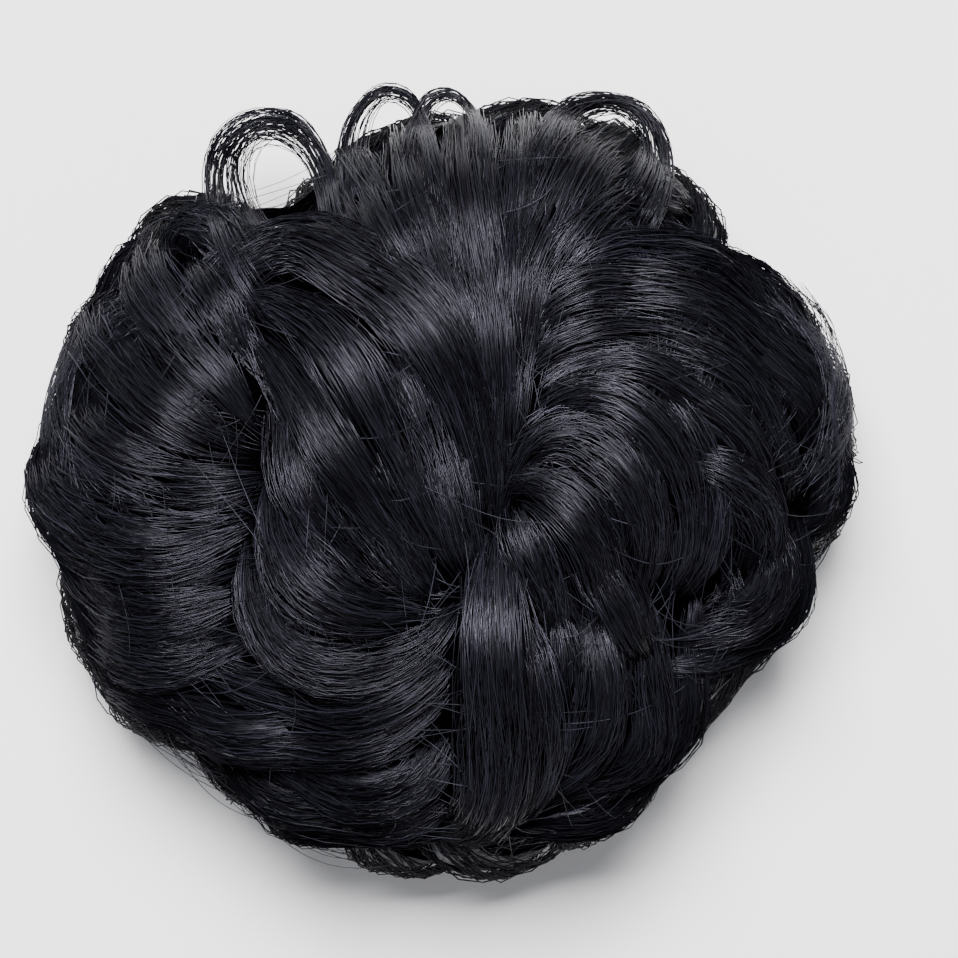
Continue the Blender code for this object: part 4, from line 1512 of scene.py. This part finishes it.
@dataclass
class WellHair:
    """Strands that climb the wall of the well from the band and close over its ceiling."""

    axis: tuple
    count: int = 430
    radius: float = 0.17 * MM
    swirl: float = 50.0
    stations: int = 13
    swirl_range: tuple = (0.6, 1.2)
    out_range: tuple = (-0.1 * MM, 0.5 * MM)
    height_range: tuple = (-0.2 * MM, 0.4 * MM)
    profile: tuple = (
        (22.4, 8.8), (21.0, 10.6), (20.8, 16.0), (20.7, 22.0), (18.6, 27.0), (13.0, 29.4), (4.0, 29.8),
    )

    def build(self, draw: np.random.Generator) -> bpy.types.Object:
        """Build the strands.

        Args:
            draw: The source of random numbers.

        Returns:
            The new object.
        """
        route = smooth_route(self.profile, self.stations) * MM
        strands = Strands()
        start = draw.uniform(0, math.tau, self.count)[:, None]
        share = np.linspace(0, 1, len(route))[None, :]
        lean = math.radians(self.swirl) * draw.uniform(*self.swirl_range, self.count)[:, None]
        wave = 0.03 * np.sin(math.tau * share * draw.uniform(1, 2, self.count)[:, None] + 7 * start)
        bearing = start + lean * share + wave
        out = route[None, :, 0] + draw.uniform(*self.out_range, self.count)[:, None]
        height = route[None, :, 1] + draw.uniform(*self.height_range, self.count)[:, None]
        points = np.stack([out * np.cos(bearing) + self.axis[0], out * np.sin(bearing) + self.axis[1],
                           height * np.ones_like(bearing)], -1)
        inward = np.stack([-np.cos(bearing), -np.sin(bearing), np.full_like(bearing, -0.3)], -1)
        strands.add(points, inward, np.full(bearing.shape, self.radius), draw.random(self.count) ** 2)
        return strands.build("well_hair")


@dataclass(frozen=True)
class NylonFinish:
    """Textured nylon yarn, braided over the rubber core.

    It gives the eye a matt charcoal with a fine fuzz. A filament is 0.02 mm thick, too fine to show,
    so the fuzz is drawn about six times as coarse.
    """

    name: str = "braided_nylon_yarn"
    dark_hex: str = "08080A"
    light_hex: str = "1E1E22"
    fuzz_width: float = 0.12 * MM
    roughness: float = 0.6
    specular: float = 0.35

    def material(self) -> bpy.types.Material:
        """Build the material.

        Returns:
            The new material.
        """
        material, tree, shader = start_material(self.name)
        place = add_node(tree, "ShaderNodeTexCoord")
        fuzz = add_node(tree, "ShaderNodeTexNoise", {}, {"Vector": place.outputs["Object"],
                                                         "Scale": 1 / self.fuzz_width, "Detail": 2.0})
        colour = blend_colours(tree, fuzz.outputs["Fac"], self.dark_hex, self.light_hex)
        bump = add_node(tree, "ShaderNodeBump", {}, {"Height": fuzz.outputs["Fac"], "Strength": 0.6,
                                                     "Distance": self.fuzz_width / 3})
        tree.links.new(colour, shader.inputs["Base Color"])
        tree.links.new(bump.outputs["Normal"], shader.inputs["Normal"])
        shader.inputs["Roughness"].default_value = self.roughness
        shader.inputs["Specular IOR Level"].default_value = self.specular
        return material


@dataclass
class BraidedElastic:
    """The covered elastic band: a core under two sets of yarns that cross over and under."""

    axis: tuple
    ring: float = 20.0 * MM
    height: float = 6.5 * MM
    core: float = 1.75 * MM
    lay: float = 1.98 * MM
    weave: float = 0.16 * MM
    yarn: float = 0.46 * MM
    yarns: int = 8
    turns: int = 8
    stations: int = 337

    def braid(self) -> bpy.types.Object:
        """Build the yarns.

        Returns:
            The new object.
        """
        strands = Strands()
        share = np.linspace(0, 1, self.stations)
        bearing = math.tau * share
        outward = np.column_stack([np.cos(bearing), np.sin(bearing), np.zeros(self.stations)])
        for way in (1, -1):
            for k in range(self.yarns):
                turn = way * (math.tau * k / self.yarns + self.turns * bearing)
                beat = self.yarns * self.turns * bearing + math.pi * (k + (way < 0))
                radius = self.lay + self.weave * np.cos(beat)
                normal = outward * np.cos(turn)[:, None] + np.array([0, 0, 1.0]) * np.sin(turn)[:, None]
                points = outward * self.ring + normal * radius[:, None]
                points = points + np.array([*self.axis, self.height])
                radii = np.full((1, self.stations), self.yarn)
                strands.add(points[None], normal[None], radii, np.array([0.5]))
        return strands.build("elastic_braid", 4)

    def core_ring(self) -> bpy.types.Object:
        """Build the core under the braid.

        Returns:
            The new object.
        """
        bpy.ops.object.select_all(action="DESELECT")
        bpy.ops.mesh.primitive_torus_add(major_segments=96, minor_segments=20, major_radius=self.ring,
                                         minor_radius=self.core, location=(*self.axis, self.height))
        item = bpy.context.view_layer.objects.active
        item.name = item.data.name = "elastic_core"
        bpy.ops.object.transform_apply(location=True, rotation=True, scale=True)
        bpy.ops.object.shade_smooth()
        return item


@dataclass
class PackedHair:
    """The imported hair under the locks, which also lines the well."""

    dome: Dome
    shrink: float = 1.3 * MM
    weld: float = 0.01 * MM
    inside: float = 0.95
    smoothing: float = 0.4

    def draw_back(self, item: bpy.types.Object) -> None:
        """Draw the solid's open loops back to the rim, since loose strands take their place.

        Args:
            item: The copy of the solid, which is changed.
        """
        for vertex in item.data.vertices:
            flat = np.array(vertex.co)[:2] - np.array(self.dome.axis)
            reach = float(self.dome.reach(np.array(math.atan2(flat[1], flat[0])))) * self.dome.width / 2
            share = reach * self.inside / math.hypot(*flat)
            if share < 1 and flat[1] > 0:
                vertex.co = (*(flat * share + np.array(self.dome.axis)), vertex.co.z)

    def build(self) -> bpy.types.Object:
        """Shrink a copy of the solid bun under its strands.

        Returns:
            The new object.
        """
        only(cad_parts["hair_bun"])
        bpy.ops.object.duplicate()
        item = bpy.context.view_layer.objects.active
        item.name = item.data.name = "packed_hair"
        only(item)
        bpy.ops.object.mode_set(mode="EDIT")
        bpy.ops.mesh.select_all(action="SELECT")
        bpy.ops.mesh.remove_doubles(threshold=self.weld)
        bpy.ops.object.mode_set(mode="OBJECT")
        self.draw_back(item)
        bpy.ops.object.mode_set(mode="EDIT")
        bpy.ops.mesh.select_all(action="SELECT")
        bpy.ops.transform.shrink_fatten(value=-self.shrink)
        bpy.ops.mesh.vertices_smooth(factor=self.smoothing, repeat=1)
        bpy.ops.object.mode_set(mode="OBJECT")
        bpy.ops.object.shade_smooth()
        return item


@dataclass
class Studio:
    """A plain pale floor, soft lights and the camera straight above the crown."""

    floor_size: float = 3.0
    floor_hex: str = "F4F4F5"
    lights: tuple = (
        ("key_softbox", (-0.06, 0.44, 1.04), 0.50, 50.0),
        ("fill_softbox", (0.30, -0.85, 0.60), 0.8, 3.2),
    )
    air_hex: str = "F2F3FF"
    air_strength: float = 0.18
    lens: float = 160.0
    sensor: float = 36.0
    frame_width: float = 0.146
    focus_height: float = 0.030
    centre_x: float = 5.5 * MM
    centre_y: float = 0.3 * MM

    def floor(self) -> None:
        """Lay the floor."""
        bpy.ops.object.select_all(action="DESELECT")
        bpy.ops.mesh.primitive_plane_add(size=self.floor_size)
        item = bpy.context.view_layer.objects.active
        item.name = "studio_floor"
        material, _, shader = start_material("matt_paper")
        shader.inputs["Base Color"].default_value = linear_colour(self.floor_hex)
        shader.inputs["Roughness"].default_value = 0.9
        item.data.materials.append(material)

    def light(self, name: str, place: tuple, size: float, power: float) -> None:
        """Hang a square soft light that faces the bun.

        Args:
            name: The light's name.
            place: Where it hangs.
            size: Its side in metres.
            power: Its power in watts.
        """
        bpy.ops.object.light_add(type="AREA", location=place)
        item = bpy.context.view_layer.objects.active
        item.name = name
        item.data.size = size
        item.data.energy = power
        aim = Vector((0, 0, self.focus_height)) - Vector(place)
        item.rotation_euler = aim.to_track_quat("-Z", "Y").to_euler()

    def camera(self) -> None:
        """Hang the camera over the crown, with the bun where the photograph has it."""
        distance = self.frame_width / self.sensor * self.lens
        place = (self.centre_x, self.centre_y, self.focus_height + distance)
        bpy.ops.object.camera_add(location=place, rotation=(0, 0, 0))
        item = bpy.context.view_layer.objects.active
        item.name = "camera_above"
        item.data.lens = self.lens
        item.data.sensor_width = self.sensor
        bpy.context.scene.camera = item

    def build(self) -> None:
        """Build the floor, the lights, the world and the camera."""
        self.floor()
        for light in self.lights:
            self.light(*light)
        world = bpy.data.worlds.new("studio_air")
        world.use_nodes = True
        air = world.node_tree.nodes["Background"]
        air.inputs["Color"].default_value = linear_colour(self.air_hex)
        air.inputs["Strength"].default_value = self.air_strength
        bpy.context.scene.world = world
        self.camera()


def main() -> None:
    """Build the hairpiece's looks."""
    logging.basicConfig(level=logging.INFO, format="%(message)s")
    Studio().build()
    low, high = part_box("elastic_band")
    axis = ((low[0] + high[0]) / 2, (low[1] + high[1]) / 2)
    dome = Dome(axis=axis)
    fibre = FibreFinish().material()
    # Fibre on the steep sides lies in its neighbours' shade; this darker, duller copy of the fibre is painted
    # shade, so it gives the eye a dull, nearly black edge
    shaded = FibreFinish("shaded_modacrylic_fibre", light_hex="14141A", roughness=0.66,
                         specular=0.04).material()
    # A lighter copy of the fibre with painted light: single loose fibre is lit from all round, so it is drawn
    # as a thin thread, lighter than the locks
    loose = FibreFinish("loose_modacrylic_fibre_painted_light", light_hex="30303A", roughness=0.45,
                        specular=0.30).material()
    combed = CombedFinish().material(by_flow=True)
    # Painted shade: light hardly reaches the packed fibre between the locks, so it is drawn with next to no
    # colour and no sheen
    packed_shade = CombedFinish("packed_modacrylic_painted_shade", "000000", "030304", roughness=0.7,
                          specular=0.0).material(by_flow=False)
    nylon = NylonFinish().material()
    draw = np.random.default_rng(SEED)

    skins = [publish(PackedHair(dome).build(), packed_shade, Slot.HAIR, "hair_bun")]
    locks = Locks(dome, StrandStyle())
    for region, rows in LOCKS.items():
        bodies, strands = locks.build(region, rows, draw)
        skins.append(publish(bodies, combed, Slot.HAIR))
        publish(strands, (fibre, shaded), Slot.HAIR)
    side = SideLocks(dome, StrandStyle(pitch=6.0 * MM, radius=0.12 * MM))
    bodies, strands = side.build(draw)
    skins.append(publish(bodies, combed, Slot.HAIR))
    # The side's strands all take the darker copy of the fibre: painted shade
    publish(strands, shaded, Slot.HAIR)
    skin = Skin.of(skins)
    publish(OpenLoops(dome, StrandStyle()).build(draw), (fibre, shaded), Slot.HAIR)
    # The strands in the valleys take the darker copy of the fibre: painted shade
    publish(Underlay(skin, StrandStyle()).build(locks.spines + side.spines, draw), shaded, Slot.HAIR)
    publish(StrayHairs(dome, skin, locks.spines + side.spines).build(draw), loose, Slot.HAIR)
    publish(CrossingWisps(dome, skin).build(draw), fibre, Slot.HAIR)
    publish(EdgeMist(dome).build(draw), loose, Slot.HAIR)
    flat_style = StrandStyle(radius=0.16 * MM, pitch=4.0 * MM, loose=0.2 * MM, wisp_lift=0.1 * MM)
    publish(Wefts(flat_style, axis=axis).build(draw), fibre, Slot.HAIR)
    publish(WellHair(axis).build(draw), fibre, Slot.HAIR)
    elastic = BraidedElastic(axis)
    publish(elastic.braid(), nylon, Slot.BAND, "elastic_band")
    publish(elastic.core_ring(), nylon, Slot.BAND)


if __name__ == "__main__":
    main()
